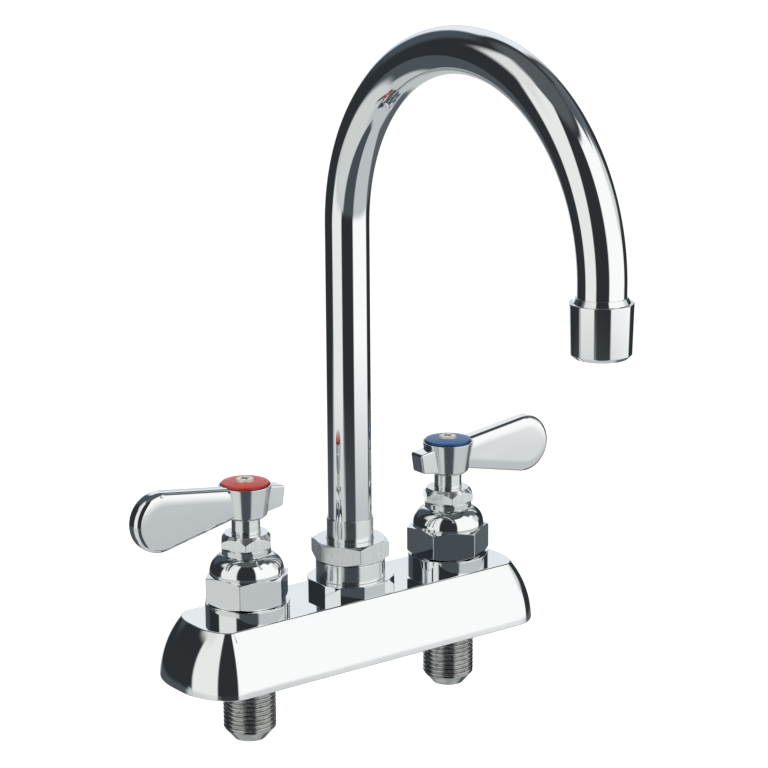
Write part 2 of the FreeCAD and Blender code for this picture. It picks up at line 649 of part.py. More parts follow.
def lever_outline(sketch):
    """Side view of the blade: straight edges that run tangent into a round paddle end."""
    tip_radius = value("lever_tip_radius")
    centre = FreeCAD.Vector(value("lever_reach") - tip_radius, value("hub_foot + lever_tip_rise"), 0)
    root_x = value("lever_root")
    high = FreeCAD.Vector(root_x, value("hub_top"), 0)
    low = FreeCAD.Vector(root_x, value("hub_foot + lever_root_low"), 0)
    touch = []
    for corner, side in ((low, -1), (high, 1)):
        away = centre - corner
        spread = math.acos(tip_radius / away.Length)
        angle = math.atan2(-away.y, -away.x) - side * spread
        touch.append(centre + FreeCAD.Vector(math.cos(angle), math.sin(angle), 0) * tip_radius)
    angles = [math.atan2(point.y - centre.y, point.x - centre.x) for point in touch]
    tip = Part.ArcOfCircle(Part.Circle(centre, FreeCAD.Vector(0, 0, 1), tip_radius), *angles)
    lower = sketch.addGeometry(Part.LineSegment(low, touch[0]), False)
    paddle = sketch.addGeometry(tip, False)
    upper = sketch.addGeometry(Part.LineSegment(touch[1], high), False)
    root = sketch.addGeometry(Part.LineSegment(high, low), False)
    sketch.addConstraint(Sketcher.Constraint("Tangent", lower, END, paddle, START))
    sketch.addConstraint(Sketcher.Constraint("Tangent", paddle, END, upper, START))
    sketch.addConstraint(Sketcher.Constraint("Coincident", upper, END, root, START))
    sketch.addConstraint(Sketcher.Constraint("Coincident", root, END, lower, START))
    hold(sketch, lower, START, "lever_root", "hub_foot + lever_root_low")
    hold(sketch, root, START, "lever_root", "hub_top")
    hold(sketch, paddle, CENTRE, "lever_reach - lever_tip_radius", "hub_foot + lever_tip_rise")
    hold_radius(sketch, paddle, "lever_tip_radius")


def blade_rims(feature):
    """The edges round both faces of the blade, without the ends inside the hub."""
    half = value("lever_thickness") / 2
    root_x = value("lever_root")
    names = []
    for index, edge in enumerate(feature.Shape.Edges, 1):
        on_face = all(abs(abs(vertex.Y) - half) < 1e-6 for vertex in edge.Vertexes)
        across = edge.Vertexes[0].Y * edge.Vertexes[-1].Y < 0
        at_root = all(abs(vertex.X - root_x) < 1e-6 for vertex in edge.Vertexes)
        if on_face and not across and not at_root:
            names.append(f"Edge{index}")
    return names


def lever(side):
    """Chromed lever: conical hub, paddle blade, short tail, cap pocket and square socket."""
    body = new_body(f"{side}_lever")
    blade = sketch_on(body, "XZ_Plane")
    lever_outline(blade)
    pad = raised(body, blade, "lever_thickness", symmetric=True)
    document.recompute()
    rims = body.newObject("PartDesign::Fillet", f"{side}_lever_rims")
    rims.Base = (pad, blade_rims(pad))
    rims.setExpression("Radius", cells("lever_round"))
    tail = sketch_on(body, "XZ_Plane")
    outline(tail, [
        ("-lever_root", "hub_foot + lever_root_low"), ("-lever_root", "hub_top - tail_drop"),
        ("-tail_reach", "hub_top - tail_drop - tail_slope"),
        ("-(tail_reach - tail_lean)", "hub_foot + lever_root_low + tail_slope"),
    ])
    raised(body, tail, "tail_thickness", symmetric=True)
    turned(body, [
        ("0", "hub_foot"), ("hub_foot_radius - hub_foot_chamfer", "hub_foot"),
        ("hub_foot_radius", "hub_foot + hub_foot_chamfer"), ("hub_top_radius", "hub_top"), ("0", "hub_top"),
    ])
    screw_hole = "screw_radius + fit_gap"
    turned(body, [
        ("0", "tang_top"), (screw_hole, "tang_top"), (screw_hole, "cap_seat"),
        ("cap_pocket_radius", "cap_seat"), ("cap_pocket_radius", "hub_top + cap_thickness"),
        ("0", "hub_top + cap_thickness"),
    ], kind="Groove")
    socket = sketch_on(body, "XY_Plane", "tang_top")
    square_outline(socket)
    cut(body, socket, "stem_tang_height")
    return place(body, side, LEVER_TURN[side])


def index_cap(side):
    """Coloured cap in the lever's pocket, bored for the screw and its head."""
    body = new_body(f"{side}_index_cap")
    screw_hole = "screw_radius + fit_gap"
    turned(body, [
        (screw_hole, "cap_seat"), ("cap_radius", "cap_seat"), ("cap_radius", "cap_rim", "cap_round", 1),
        ("head_pocket_radius", "cap_top"), ("head_pocket_radius", "screw_seat"), (screw_hole, "screw_seat"),
    ])
    return place(body, side)


def lever_screw(side):
    """Machine screw with a low round head and a cross recess."""
    body = new_body(f"{side}_lever_screw")
    turned(body, [
        ("0", "screw_foot"), ("screw_radius", "screw_foot"), ("screw_radius", "screw_seat"),
        ("screw_head_radius", "screw_seat"), ("screw_head_radius", "screw_top - screw_head_height / 2"),
        ("screw_head_radius - screw_head_height / 2", "screw_top"), ("0", "screw_top"),
    ])
    cross = sketch_on(body, "XY_Plane", "screw_top")
    near, far = "cross_slot_width / 2", "cross_slot_length / 2"
    outline(cross, [
        (far, f"-{near}"), (far, near), (near, near), (near, far), (f"-{near}", far), (f"-{near}", near),
        (f"-{far}", near), (f"-{far}", f"-{near}"), (f"-{near}", f"-{near}"), (f"-{near}", f"-{far}"),
        (near, f"-{far}"), (near, f"-{near}"),
    ])
    cut(body, cross, "cross_slot_depth")
    return place(body, side, LEVER_TURN[side])


def valve(side):
    """All pieces of one valve."""
    return [
        supply_shank(side),
        place(ring(f"{side}_seat_ring", "seat_ring_bore", "seat_ring_radius",
                   "valve_floor_height", "cartridge_foot"), side),
        cartridge_shell(side),
        ceramic_disc(f"{side}_fixed_disc", side, "disc_foot", along_x=False),
        moving_disc(side),
        stem(side),
        place(ring(f"{side}_stem_seal", "ring_groove_radius", "stem_radius",
                   "ring_level", "ring_level + ring_height"), side),
        bonnet(side),
        place(ring(f"{side}_stem_packing", "stem_bore", "packing_radius", "packing_level", "packing_top"), side),
        packing_nut(side),
        lever(side),
        index_cap(side),
        lever_screw(side),
    ]


# The spout and what it turns in

def spout_nipple():
    """Threaded nipple with the neck that shows and the bore that the spout turns in."""
    body = new_body("spout_nipple")
    turned(body, [
        ("spout_chamber_radius", "spout_thread_floor"), ("cavity_radius", "spout_thread_floor"),
        ("cavity_radius", "boss_top"), ("neck_radius", "boss_top"), ("neck_radius", "neck_top"),
        ("nose_radius", "neck_top"), ("nose_radius", "nose_top"), ("nipple_bore", "nose_top"),
        ("nipple_bore", "ferrule_foot - fit_gap"), ("spout_chamber_radius", "ferrule_foot - fit_gap"),
    ])
    return place(body)


def swivel_nut():
    """Hexagon nut that keeps the spout's flange down on the nipple."""
    body = new_body("swivel_nut")
    crown = "swivel_nut_flats / 2"
    lip = "ferrule_show_radius + fit_gap"
    turned(body, [
        ("nose_radius", "swivel_nut_foot"), (crown, "swivel_nut_foot"),
        ("swivel_nut_corner", "swivel_nut_foot + swivel_nut_foot_drop"),
        ("swivel_nut_corner", "swivel_nut_top - swivel_nut_top_drop"), (crown, "swivel_nut_top"),
        (lip, "swivel_nut_top"), (lip, "lip_foot"), ("nose_radius", "lip_foot"),
    ])
    mill_hexagon(body, "swivel_nut_flats", "swivel_nut_foot", "swivel_nut_top")
    return place(body, angle=SWIVEL_NUT_TURN)


def spout_ferrule():
    """Turned sleeve brazed to the tube: seal groove, flange and the part that shows."""
    body = new_body("spout_ferrule")
    turned(body, [
        ("ferrule_radius", "ferrule_foot"), ("ferrule_radius", "seal_foot"),
        ("seal_groove_radius", "seal_foot"), ("seal_groove_radius", "seal_top"),
        ("ferrule_radius", "seal_top"), ("ferrule_radius", "flange_foot"), ("ferrule_flange_radius", "flange_foot"),
        ("ferrule_flange_radius", "flange_top"), ("ferrule_show_radius", "flange_top"),
        ("ferrule_show_radius", "ferrule_top"), ("tube_radius", "ferrule_top"),
        ("tube_radius", "tube_foot"), ("tube_radius - tube_wall", "tube_foot"),
        ("tube_radius - tube_wall", "ferrule_foot"),
    ])
    return place(body)


def spout_tube():
    """Gooseneck: straight riser, half-circle arch and a short drop, as one bent tube."""
    body = new_body("spout_tube")
    path = sketch_on(body, "YZ_Plane")
    foot, spring = value("tube_foot"), value("arch_height")
    reach, radius = value("spout_reach"), value("arch_radius")
    drop = value("tube_end")
    riser = path.addGeometry(Part.LineSegment(FreeCAD.Vector(0, foot, 0), FreeCAD.Vector(0, spring, 0)), False)
    bend = Part.ArcOfCircle(Part.Circle(FreeCAD.Vector(-radius, spring, 0), FreeCAD.Vector(0, 0, 1), radius),
                            0.0, math.pi)
    arch = path.addGeometry(bend, False)
    fall = path.addGeometry(Part.LineSegment(FreeCAD.Vector(-reach, spring, 0),
                                             FreeCAD.Vector(-reach, drop, 0)), False)
    path.addConstraint(Sketcher.Constraint("Coincident", riser, END, arch, START))
    path.addConstraint(Sketcher.Constraint("Coincident", arch, END, fall, START))
    path.addConstraint(Sketcher.Constraint("Horizontal", arch, CENTRE, arch, START))
    hold(path, riser, START, "0", "tube_foot")
    hold(path, riser, END, "0", "arch_height")
    hold(path, fall, START, "-spout_reach", "arch_height")
    hold(path, fall, END, "-spout_reach", "tube_end")
    section = sketch_on(body, "XY_Plane", "tube_foot")
    circle(section, "tube_radius")
    circle(section, "tube_radius - tube_wall")
    pipe = body.newObject("PartDesign::AdditivePipe", "spout_tube_bend")
    pipe.Profile = section
    pipe.Spine = (path, ["Edge1", "Edge2", "Edge3"])
    return place(body)


def at_outlet(body):
    """Stand a piece on the outlet's axis."""
    body.setExpression("Placement.Base.y", cells("-spout_reach"))
    return body


def outlet_bush():
    """Threaded bush brazed on the tube's end, flared where it shows above the aerator."""
    body = new_body("outlet_bush")
    turned(body, [
        ("tube_radius - tube_wall", "aerator_seal_top"), ("bush_radius", "aerator_seal_top"),
        ("bush_radius", "aerator_rim"),
        ("tube_radius + bush_flare_gap", "aerator_rim + bush_flare_height"),
        ("tube_radius", "aerator_rim + bush_flare_height"), ("tube_radius", "tube_end"),
        ("tube_radius - tube_wall", "tube_end"),
    ])
    return at_outlet(body)


def aerator_shell():
    """Chromed shell, slightly tapered, screwed on the bush; its ledge carries the screen."""
    body = new_body("aerator_shell")
    turned(body, [
        ("aerator_ledge_radius", "aerator_foot"),
        ("aerator_foot_radius - aerator_foot_chamfer", "aerator_foot"),
        ("aerator_foot_radius", "aerator_foot + aerator_foot_chamfer"),
        ("aerator_top_radius", "aerator_rim"), ("bush_radius", "aerator_rim"),
        ("bush_radius", "mixer_top"), ("aerator_bore_radius", "mixer_top"),
        ("aerator_bore_radius", "screen_foot"), ("aerator_ledge_radius", "screen_foot"),
    ])
    return at_outlet(body)


def aerator_mixer():
    """Plastic mixer: a plate of jets over a hollow cup."""
    body = new_body("aerator_mixer")
    turned(body, [
        ("0", "mixer_top - mixer_plate"), ("mixer_cup_radius", "mixer_top - mixer_plate"),
        ("mixer_cup_radius", "mixer_foot"), ("aerator_bore_radius - fit_gap", "mixer_foot"),
        ("aerator_bore_radius - fit_gap", "mixer_top"), ("0", "mixer_top"),
    ])
    jet = sketch_on(body, "XY_Plane", "mixer_top")
    circle(jet, "mixer_hole_radius", "mixer_hole_reach")
    drilled = cut(body, jet, "mixer_plate")
    document.recompute()
    pattern = body.newObject("PartDesign::PolarPattern", "aerator_mixer_jets")
    pattern.Originals = [drilled]
    pattern.Axis = (jet, ["N_Axis"])
    pattern.Angle = 360.0
    pattern.Occurrences = MIXER_JETS
    body.Tip = pattern
    return at_outlet(body)


def aerator_screen():
    """Thin outlet screen with a row of slots."""
    body = new_body("aerator_screen")
    disc = sketch_on(body, "XY_Plane", "screen_foot")
    circle(disc, "aerator_bore_radius - fit_gap")
    raised(body, disc, "screen_thickness")
    slots = sketch_on(body, "XY_Plane", "screen_foot + screen_thickness")
    for count in range(SCREEN_SLOTS):
        shift = f"(({count} - ({SCREEN_SLOTS} - 1) / 2) * screen_pitch)"
        half_length = f"(sqrt((aerator_ledge_radius - screen_slot) ^ 2 - {shift} ^ 2))"
        outline(slots, [
            (f"{shift} - screen_slot / 2", f"-{half_length}"), (f"{shift} + screen_slot / 2", f"-{half_length}"),
            (f"{shift} + screen_slot / 2", half_length), (f"{shift} - screen_slot / 2", half_length),
        ])
    cut(body, slots, "screen_thickness")
    return at_outlet(body)


def spout():
    """All pieces of the spout, from the nipple to the outlet screen."""
    washer_low = "flange_top + disc_film"
    return [
        spout_nipple(),
        swivel_nut(),
        place(ring("swivel_washer", "ferrule_show_radius + fit_gap", "nose_radius", washer_low, "lip_foot")),
        spout_ferrule(),
        place(ring("spout_seal", "seal_groove_radius", "ferrule_radius", "seal_foot", "seal_top")),
        spout_tube(),
        outlet_bush(),
        at_outlet(ring("aerator_seal", "aerator_seal_bore", "bush_radius", "mixer_top", "aerator_seal_top")),
        aerator_shell(),
        aerator_mixer(),
        aerator_screen(),
    ]


def failures(pieces):
    """Objects that did not build, and pieces without a valid shape."""
    problems = [item.Name for item in document.Objects if {"Invalid", "Error"} & set(item.State)]
    for piece in pieces:
        if piece.Shape.isNull() or not piece.Shape.isValid():
            problems.append(piece.Label)
    return problems


def build():
    """Build every piece, check it and write it to its own file."""
    fill_sheets()
    pieces = [body_casting()]
    for side in SIDES:
        pieces += valve(side)
    pieces += spout()
    document.recompute()
    problems = failures(pieces)
    if problems:
        raise RuntimeError("these did not build: " + ", ".join(problems))
    os.makedirs(NODE_FOLDER, exist_ok=True)
    for piece in pieces:
        piece.Shape.exportStep(f"{NODE_FOLDER}/{piece.Label}.step")
        print(f"{piece.Label:24s} solids {len(piece.Shape.Solids)} volume {piece.Shape.Volume:10.1f} mm3")


build()
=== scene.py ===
"""The finished look of a chromed two-handle bar sink faucet, built round its packed solids."""

import math
from types import SimpleNamespace

import bpy
from bpy.props import FloatProperty, FloatVectorProperty, IntProperty, PointerProperty
from mathutils import Matrix, Vector
from mathutils.geometry import tessellate_polygon


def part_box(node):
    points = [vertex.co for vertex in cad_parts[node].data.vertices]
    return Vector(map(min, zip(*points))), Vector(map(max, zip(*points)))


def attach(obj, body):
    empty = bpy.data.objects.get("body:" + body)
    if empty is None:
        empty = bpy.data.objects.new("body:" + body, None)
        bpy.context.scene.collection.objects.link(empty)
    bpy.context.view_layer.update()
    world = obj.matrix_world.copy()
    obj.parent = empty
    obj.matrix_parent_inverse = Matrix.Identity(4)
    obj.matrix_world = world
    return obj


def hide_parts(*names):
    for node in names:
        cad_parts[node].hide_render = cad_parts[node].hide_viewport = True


bl_info = {
    "name": "Bar Sink Faucet",
    "version": (1, 0, 0),
    "blender": (4, 5, 0),
    "location": "3D View > Sidebar > Faucet",
    "description": "Builds the chromed pieces, the materials and the studio of a bar sink faucet",
    "category": "Object",
}

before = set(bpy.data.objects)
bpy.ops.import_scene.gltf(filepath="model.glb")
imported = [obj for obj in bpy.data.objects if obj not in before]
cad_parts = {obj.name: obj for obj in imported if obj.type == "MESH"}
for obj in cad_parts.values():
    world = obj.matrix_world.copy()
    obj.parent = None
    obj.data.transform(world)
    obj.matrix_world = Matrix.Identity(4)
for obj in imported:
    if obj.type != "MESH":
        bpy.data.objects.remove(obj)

MM = 0.001
SIDES = ("hot", "cold")
FULL_TURN = 2 * math.pi
RIGHT_ANGLE = math.pi / 2
UP = Vector((0, 0, 1))

# Divisions of a rounded corner and of a full turn
ROUNDING_STEPS = 4
TURNING_STEPS = 120
# Roundings in millimetres: an edge left sharp, one just broken and one eased
CRISP, BROKEN, EASED = 0.1, 0.2, 0.3
# Degrees left free between an arc and the rounded corner beside it
ARC_GAP = 2.0
# Corners of a screw's cross recess, which has a wall for each and one floor
CROSS_CORNERS = 12
RECESS_FACES = CROSS_CORNERS + 1
# Millimetres from the foot of the bush to the end of the tube inside it
BUSH_LEDGE = 1.7

# Angles in degrees at which each hexagon and lever stands about its own axis
BONNET_TURN = {"hot": 46.4, "cold": 31.6}
PACKING_NUT_TURN = {"hot": 54.9, "cold": 1.5}
SWIVEL_NUT_TURN = 9.4
LEVER_TURN = {"hot": 180.0, "cold": 0.0}


# Sizes and colours that a user would change

def linear(hex_colour):
    """An sRGB hex colour as linear red, green and blue."""
    channels = [int(hex_colour[place:place + 2], 16) / 255 for place in (1, 3, 5)]
    return tuple(channel / 12.92 if channel <= 0.04045 else ((channel + 0.055) / 1.055) ** 2.4
                 for channel in channels)


def length(name, millimetres, description):
    """A length property whose default is given in millimetres."""
    return FloatProperty(name=name, description=description, default=millimetres * MM,
                         precision=5, subtype="DISTANCE", unit="LENGTH")


def colour(name, hex_colour, description):
    """A colour property whose default is an sRGB hex colour."""
    return FloatVectorProperty(name=name, description=description, default=linear(hex_colour),
                               size=3, min=0.0, max=1.0, subtype="COLOR")


def degrees(name, amount, description):
    """An angle property whose default is given in degrees."""
    return FloatProperty(name=name, description=description, default=math.radians(amount),
                         subtype="ANGLE", unit="ROTATION")


def in_mm(group):
    """The properties of a group by name, with its lengths in millimetres."""
    values = {}
    for name in group.__annotations__:
        is_length = group.bl_rna.properties[name].unit == "LENGTH"
        values[name] = getattr(group, name) / MM if is_length else getattr(group, name)
    return SimpleNamespace(**values)


def box_mm(node):
    """Lowest and highest corner of a packed node, in millimetres."""
    low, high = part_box(node)
    return Vector(low) / MM, Vector(high) / MM


def axis_of(node):
    """Where the vertical axis of a turned node stands, in millimetres."""
    low, high = box_mm(node)
    return Vector(((low.x + high.x) / 2, (low.y + high.y) / 2, 0))


class FaucetCasting(bpy.types.PropertyGroup):
    """Cast body."""
    foot_length: length("Foot length", 171.0, "Casting at the deck, along X")
    foot_width: length("Foot width", 52.6, "Casting at the deck, along Y")
    corner: length("Corner", 20.0, "Middle radius of the corners at the deck")
    corner_along: length("Corner along", 17.0, "How far a corner reaches along X")
    corner_across: length("Corner across", 23.5, "How far a corner reaches along Y")
    draft: degrees("Draft", 3.5, "Lean of the casting's side at the deck")
    lip: length("Lip", 2.0, "Upright band round the foot")
    flat_top: length("Flat top", 24.8, "Deck to the flat top")
    inset: length("Inset", 9.2, "How far the flat top stands in from the foot")
    wall: length("Wall", 3.0, "Thickness of the casting's wall")
    top_edge: length("Top edge", 1.0, "Rounding round the flat top")
    foot_edge: length("Foot edge", 0.5, "Rounding at the deck")
    seat_top: length("Seat top", 30.0, "Deck to the top of the raised seats")
    seat_radius: length("Valve seat", 17.0, "Radius of the round seat under each bonnet")
    seat_edge: length("Seat edge", 0.35, "Rounding of the seats' upper edges")
    spout_seat: length("Spout seat", 18.0, "Radius of the corners of the seat under the spout")
    spout_seat_half: length("Spout seat half width", 16.7, "Middle of the spout's seat to its long edges")
    well_radius: length("Well", 15.0, "Outside of the wells under the flat top")
    valve_well_foot: length("Valve well foot", 3.5, "Deck to the underside of a valve well")
    spout_well_foot: length("Spout well foot", 8.0, "Deck to the underside of the spout's well")
    passage_radius: length("Passage", 7.0, "Outside of the water passage between the wells")
    passage_height: length("Passage height", 17.0, "Deck to the axis of the water passage")


class FaucetValves(bpy.types.PropertyGroup):
    """Bonnets, packing nuts and supply shanks."""
    bonnet_flats: length("Bonnet flats", 30.2, "Bonnet hexagon across flats")
    bonnet_hexagon: length("Bonnet hexagon", 11.8, "Height of the hexagon, chamfers included")
    bonnet_foot_chamfer: length("Bonnet foot chamfer", 1.3, "Lower chamfer at the corners")
    bonnet_top_chamfer: length("Bonnet top chamfer", 0.8, "Upper chamfer at the corners")
    dome_skirt: length("Dome skirt", 0.9, "Upright band between the hexagon and the dome")
    dome_round: length("Dome round", 7.8, "Radius of the dome's shoulder in section")
    collar_radius: length("Collar", 9.9, "Upright collar on top of the dome")
    nut_flats: length("Packing nut flats", 19.3, "Packing nut across flats")
    nut_height: length("Packing nut height", 5.3, "Packing nut above its washer face")
    nut_chamfer: length("Packing nut chamfer", 2.7, "Upper chamfer at the corners")
    nut_crown: length("Packing nut crown", 8.7, "Radius of the round face on top")
    washer_face: length("Washer face", 9.2, "Radius of the round face under the packing nut")
    washer_height: length("Washer face height", 0.7, "Round face under the packing nut")
    hexagon_edge: length("Hexagon edge", 0.22, "Rounding of a hexagon's milled edges")
    thread_pitch: length("Thread pitch", 25.4 / 14, "Straight pipe thread with 14 turns to the inch")
    thread_depth: length("Thread depth", 0.85, "Crest to root of the supply thread")
    shank_cone: length("Shank cone", 4.8, "Height of the conical end of a shank")
    shank_cone_inset: length("Shank cone inset", 4.0, "How far the conical end closes in")


class FaucetLevers(bpy.types.PropertyGroup):
    """Levers, colour caps and screws."""
    hub_foot_radius: length("Hub foot", 8.6, "Radius of the hub at its foot")
    hub_top_radius: length("Hub top", 10.7, "Radius of the hub at its rim")
    hub_height: length("Hub height", 13.1, "Foot to rim of the hub")
    hub_chamfer: length("Hub chamfer", 0.9, "Chamfered foot of the hub")
    pocket_depth: length("Cap pocket", 1.4, "Depth of the pocket for the cap")
    pocket_radius: length("Cap pocket radius", 9.96, "Radius of the pocket for the cap")
    reach: length("Reach", 52.4, "Stem axis to the lever's tip")
    thickness: length("Thickness", 8.0, "Thickness of the blade")
    rim_round: length("Rim", 3.0, "Rounded rim of the blade")
    tip_radius: length("Tip", 12.2, "Radius of the paddle end")
    tip_rise: length("Tip rise", 5.4, "Hub foot to the middle of the paddle end")
    root: length("Root", 6.0, "Stem axis to the root of the blade's edges")
    root_low: length("Root low", 0.5, "Lower edge of the blade above the hub's foot")
    tail_reach: length("Tail reach", 16.8, "Stem axis to the end of the short tail")
    tail_thickness: length("Tail thickness", 7.4, "Thickness of the short tail")
    tail_drop: length("Tail drop", 1.2, "Hub's rim to the root of the tail's top")
    tail_slope: length("Tail slope", 1.6, "Fall of the tail's top")
    tail_lean: length("Tail lean", 1.3, "How far the tail's end leans in at its foot")
    cap_radius: length("Cap", 9.5, "Radius of the colour cap")
    cap_crown: length("Cap crown", 0.8, "Rise of the cap from its rim to the screw")
    screw_head: length("Screw head", 3.9, "Radius of the screw's head")
    cross_width: length("Cross width", 0.8, "Width of the cross recess")
    cross_length: length("Cross length", 4.2, "Length of the cross recess")
    cross_depth: length("Cross depth", 1.5, "Depth of the cross recess")


class FaucetSpout(bpy.types.PropertyGroup):
    """Neck, swivel nut, gooseneck and outlet."""
    neck_radius: length("Neck", 14.3, "Radius of the collar under the swivel nut")
    neck_height: length("Neck height", 7.7, "Collar under the swivel nut")
    nut_flats: length("Swivel nut flats", 28.6, "Swivel nut across flats")
    nut_foot_chamfer: length("Swivel nut foot chamfer", 1.6, "Lower chamfer at the corners")
    nut_top_chamfer: length("Swivel nut top chamfer", 1.0, "Upper chamfer at the corners")
    sleeve_radius: length("Sleeve", 9.6, "Radius of the sleeve above the swivel nut")
    tube_radius: length("Tube", 9.0, "Outer radius of the gooseneck")
    tube_wall: length("Tube wall", 1.2, "Wall of the gooseneck")
    reach: length("Reach", 150.8, "Swivel axis to the outlet's axis")
    arch_height: length("Arch height", 175.7, "Deck to the centre of the gooseneck's arc")
    flare_height: length("Flare height", 1.9, "Flare of the bush above the aerator")
    bush_radius: length("Bush", 10.3, "Radius of the bush on the tube's end")
    aerator_top: length("Aerator top", 11.6, "Radius of the aerator's shell at its rim")
    aerator_foot: length("Aerator foot", 11.1, "Radius of the aerator's shell at its mouth")
    aerator_chamfer: length("Aerator chamfer", 1.4, "Chamfered mouth of the shell")


class FaucetFinishes(bpy.types.PropertyGroup):
    """Colours and gloss."""
    chrome: colour("Chrome", "#EEF0F1", "Colour of the chrome plate")
    nickel: colour("Nickel", "#D0D1D0", "Colour of the dull plate on the shanks")
    hot_cap: colour("Hot cap", "#B8231A", "Colour of the hot cap")
    cold_cap: colour("Cold cap", "#064E86", "Colour of the cold cap")
    screw: colour("Screw", "#D8D2C6", "Colour of the lever screws")
    haze: FloatProperty(name="Haze", description="Roughness of the polished chrome", default=0.035,
                        min=0.0, max=1.0)


class FaucetStudio(bpy.types.PropertyGroup):
    """Camera, lamps and floor."""
    azimuth: degrees("Azimuth", -36.882, "Where the camera stands round the faucet")
    elevation: degrees("Elevation", 14.416, "Height of the camera above the horizon")
    roll: degrees("Roll", -0.369, "Tilt of the camera about its own axis")
    distance: length("Distance", 1036.0, "Camera to the point that it looks at")
    aim_x: length("Aim across", 17.8, "The point looked at, along X")
    aim_z: length("Aim height", 107.49, "The point looked at, above the deck")
    lens: FloatProperty(name="Lens", description="Focal length in millimetres on a 36 mm sensor",
                        default=119.7, min=1.0)
    floor_drop: length("Floor drop", 260.0, "How far the floor lies below the deck")
    tent_radius: length("Tent radius", 5000.0, "Radius of the tent of softboxes and cards")
    tent_steps: IntProperty(name="Tent steps", description="Divisions round the tent", default=240, min=24)


# Outlines and shells. Inside these functions every length is in millimetres

def turned_by(direction, angle):
    """A plan or section direction turned anticlockwise."""
    return Vector((direction.x * math.cos(angle) - direction.y * math.sin(angle),
                   direction.x * math.sin(angle) + direction.y * math.cos(angle)))


def rounded_corner(before, here, after, radius):
    """Points and outward normals of one rounded corner of an anticlockwise outline."""
    way_in, way_out = here - before, after - here
    turn = math.atan2(way_in.x * way_out.y - way_in.y * way_out.x, way_in.dot(way_out))
    least_turn, share_of_side = 0.001, 0.45
    half_tangent = math.tan(max(abs(turn), least_turn) / 2)
    cut = min(radius * half_tangent, share_of_side * way_in.length, share_of_side * way_out.length)
    normal = Vector((way_in.y, -way_in.x)).normalized()
    signed_radius = math.copysign(cut / half_tangent, turn)
    centre = here - way_in.normalized() * cut - normal * signed_radius
    points = []
    for step in range(ROUNDING_STEPS + 1):
        facing = turned_by(normal, turn * step / ROUNDING_STEPS)
        points.append((*(centre + facing * signed_radius), *facing))
    return points


def softened(corners, ends=None):
    """Points of an anticlockwise outline with their outward normals.

    A corner is its two coordinates and the radius that rounds it. A point with four values already has
    its normal. Where the outline is open, ends is the first coordinate of what lies before and after it.
    """
    outline = []
    for index, corner in enumerate(corners):
        if len(corner) == 4:
            outline.append(corner)
            continue
        here = Vector(corner[:2])
        before = Vector(corners[index - 1][:2])
        after = Vector(corners[(index + 1) % len(corners)][:2])
        if ends is not None and index == 0:
            before = Vector((ends, here.y))
        if ends is not None and index == len(corners) - 1:
            after = Vector((ends, here.y))
        outline += rounded_corner(before, here, after, corner[2])
    return outline


def arc(across, height, radius, start, end, steps):
    """Points of a convex arc between two angles in degrees, with their normals."""
    points = []
    for step in range(steps + 1):
        angle = math.radians(start + (end - start) * step / steps)
        points.append((across + radius * math.cos(angle), height + radius * math.sin(angle),
                       math.cos(angle), math.sin(angle)))
    return points


def skin(columns, ringed=True):
    """Faces between neighbouring columns of points with normals, the last column next to the first.

    ringed joins each column's ends; otherwise flat faces close the two ends of the shell.
    """
    rows, count = len(columns[0]), len(columns)
    points = [point for column in columns for point, _ in column]
    normals = [normal for column in columns for _, normal in column]
    faces = []
    for place in range(count):
        here, there = place * rows, (place + 1) % count * rows
        for row in range(rows if ringed else rows - 1):
            above = (row + 1) % rows
            faces.append((here + row, there + row, there + above, here + above))
    if not ringed:
        faces.append(tuple(place * rows for place in reversed(range(count))))
        faces.append(tuple(place * rows + rows - 1 for place in range(count)))
    return points, normals, faces


def swept(plan, section, placing, ringed=True):
    """Carry a section round a plan, out along the plan's normals and up its own Z axis."""
    turning = placing.to_3x3()
    columns = []
    for x, y, facing_x, facing_y in plan:
        columns.append([(placing @ Vector((x + facing_x * out, y + facing_y * out, height)),
                         turning @ Vector((facing_x * lean, facing_y * lean, rise)))
                        for out, height, lean, rise in section])
    return skin(columns, ringed=ringed)


def circle_plan(steps=TURNING_STEPS):
    """The plan of a turned piece: one point that faces every way."""
    angles = [FULL_TURN * step / steps for step in range(steps)]
    return [(0.0, 0.0, math.cos(angle), math.sin(angle)) for angle in angles]


def turned(section, axis, ringed=True):
    """Turn a section about a vertical axis."""
    return swept(circle_plan(), section, Matrix.Translation(axis), ringed)


def polygon_plan(corners, corner_round, divisions=6):
    """Plan of a polygon with rounded corners, with points along its sides."""
    outline = softened([(*corner, corner_round) for corner in corners])
    plan = []
    for index, point in enumerate(outline):
        plan.append(point)
        after = outline[(index + 1) % len(outline)]
        if (index + 1) % (ROUNDING_STEPS + 1) == 0:
            for part in range(1, divisions):
                share = part / divisions
                x, y = (point[axis] * (1 - share) + after[axis] * share for axis in (0, 1))
                plan.append((x, y, *point[2:]))
    return plan


def hexagon_corners(across_flats, turn):
    """Corners of a hexagon, the first at an angle in degrees."""
    angles = [math.radians(turn + 60 * corner) for corner in range(6)]
    reach = across_flats / math.sqrt(3)
    return [(reach * math.cos(angle), reach * math.sin(angle)) for angle in angles]


def milled(plan, section_at, lean, edge, axis):
    """A turned piece with flats milled on it: each plan point has its own section.

    On the flats the surface faces as the plan does, and elsewhere away from the axis. lean is the rise
    of the chamfers' normals and edge the width of the rounding between both.
    """
    columns = []
    for x, y, facing_x, facing_y in plan:
        away = Vector((x, y, 0)).normalized()
        flat = Vector((facing_x, facing_y, 0))
        wall = math.hypot(x, y)
        column = []
        for out, height, reach, rise in softened(section_at(wall)):
            share = min(1.0, abs(rise) / lean)
            if reach < 0 or out < wall - edge:
                share = 1.0
            facing = (flat.lerp(away, share).normalized() * reach + UP * rise).normalized()
            column.append((axis + away * out + UP * height, facing))
        columns.append(column)
    return skin(columns)


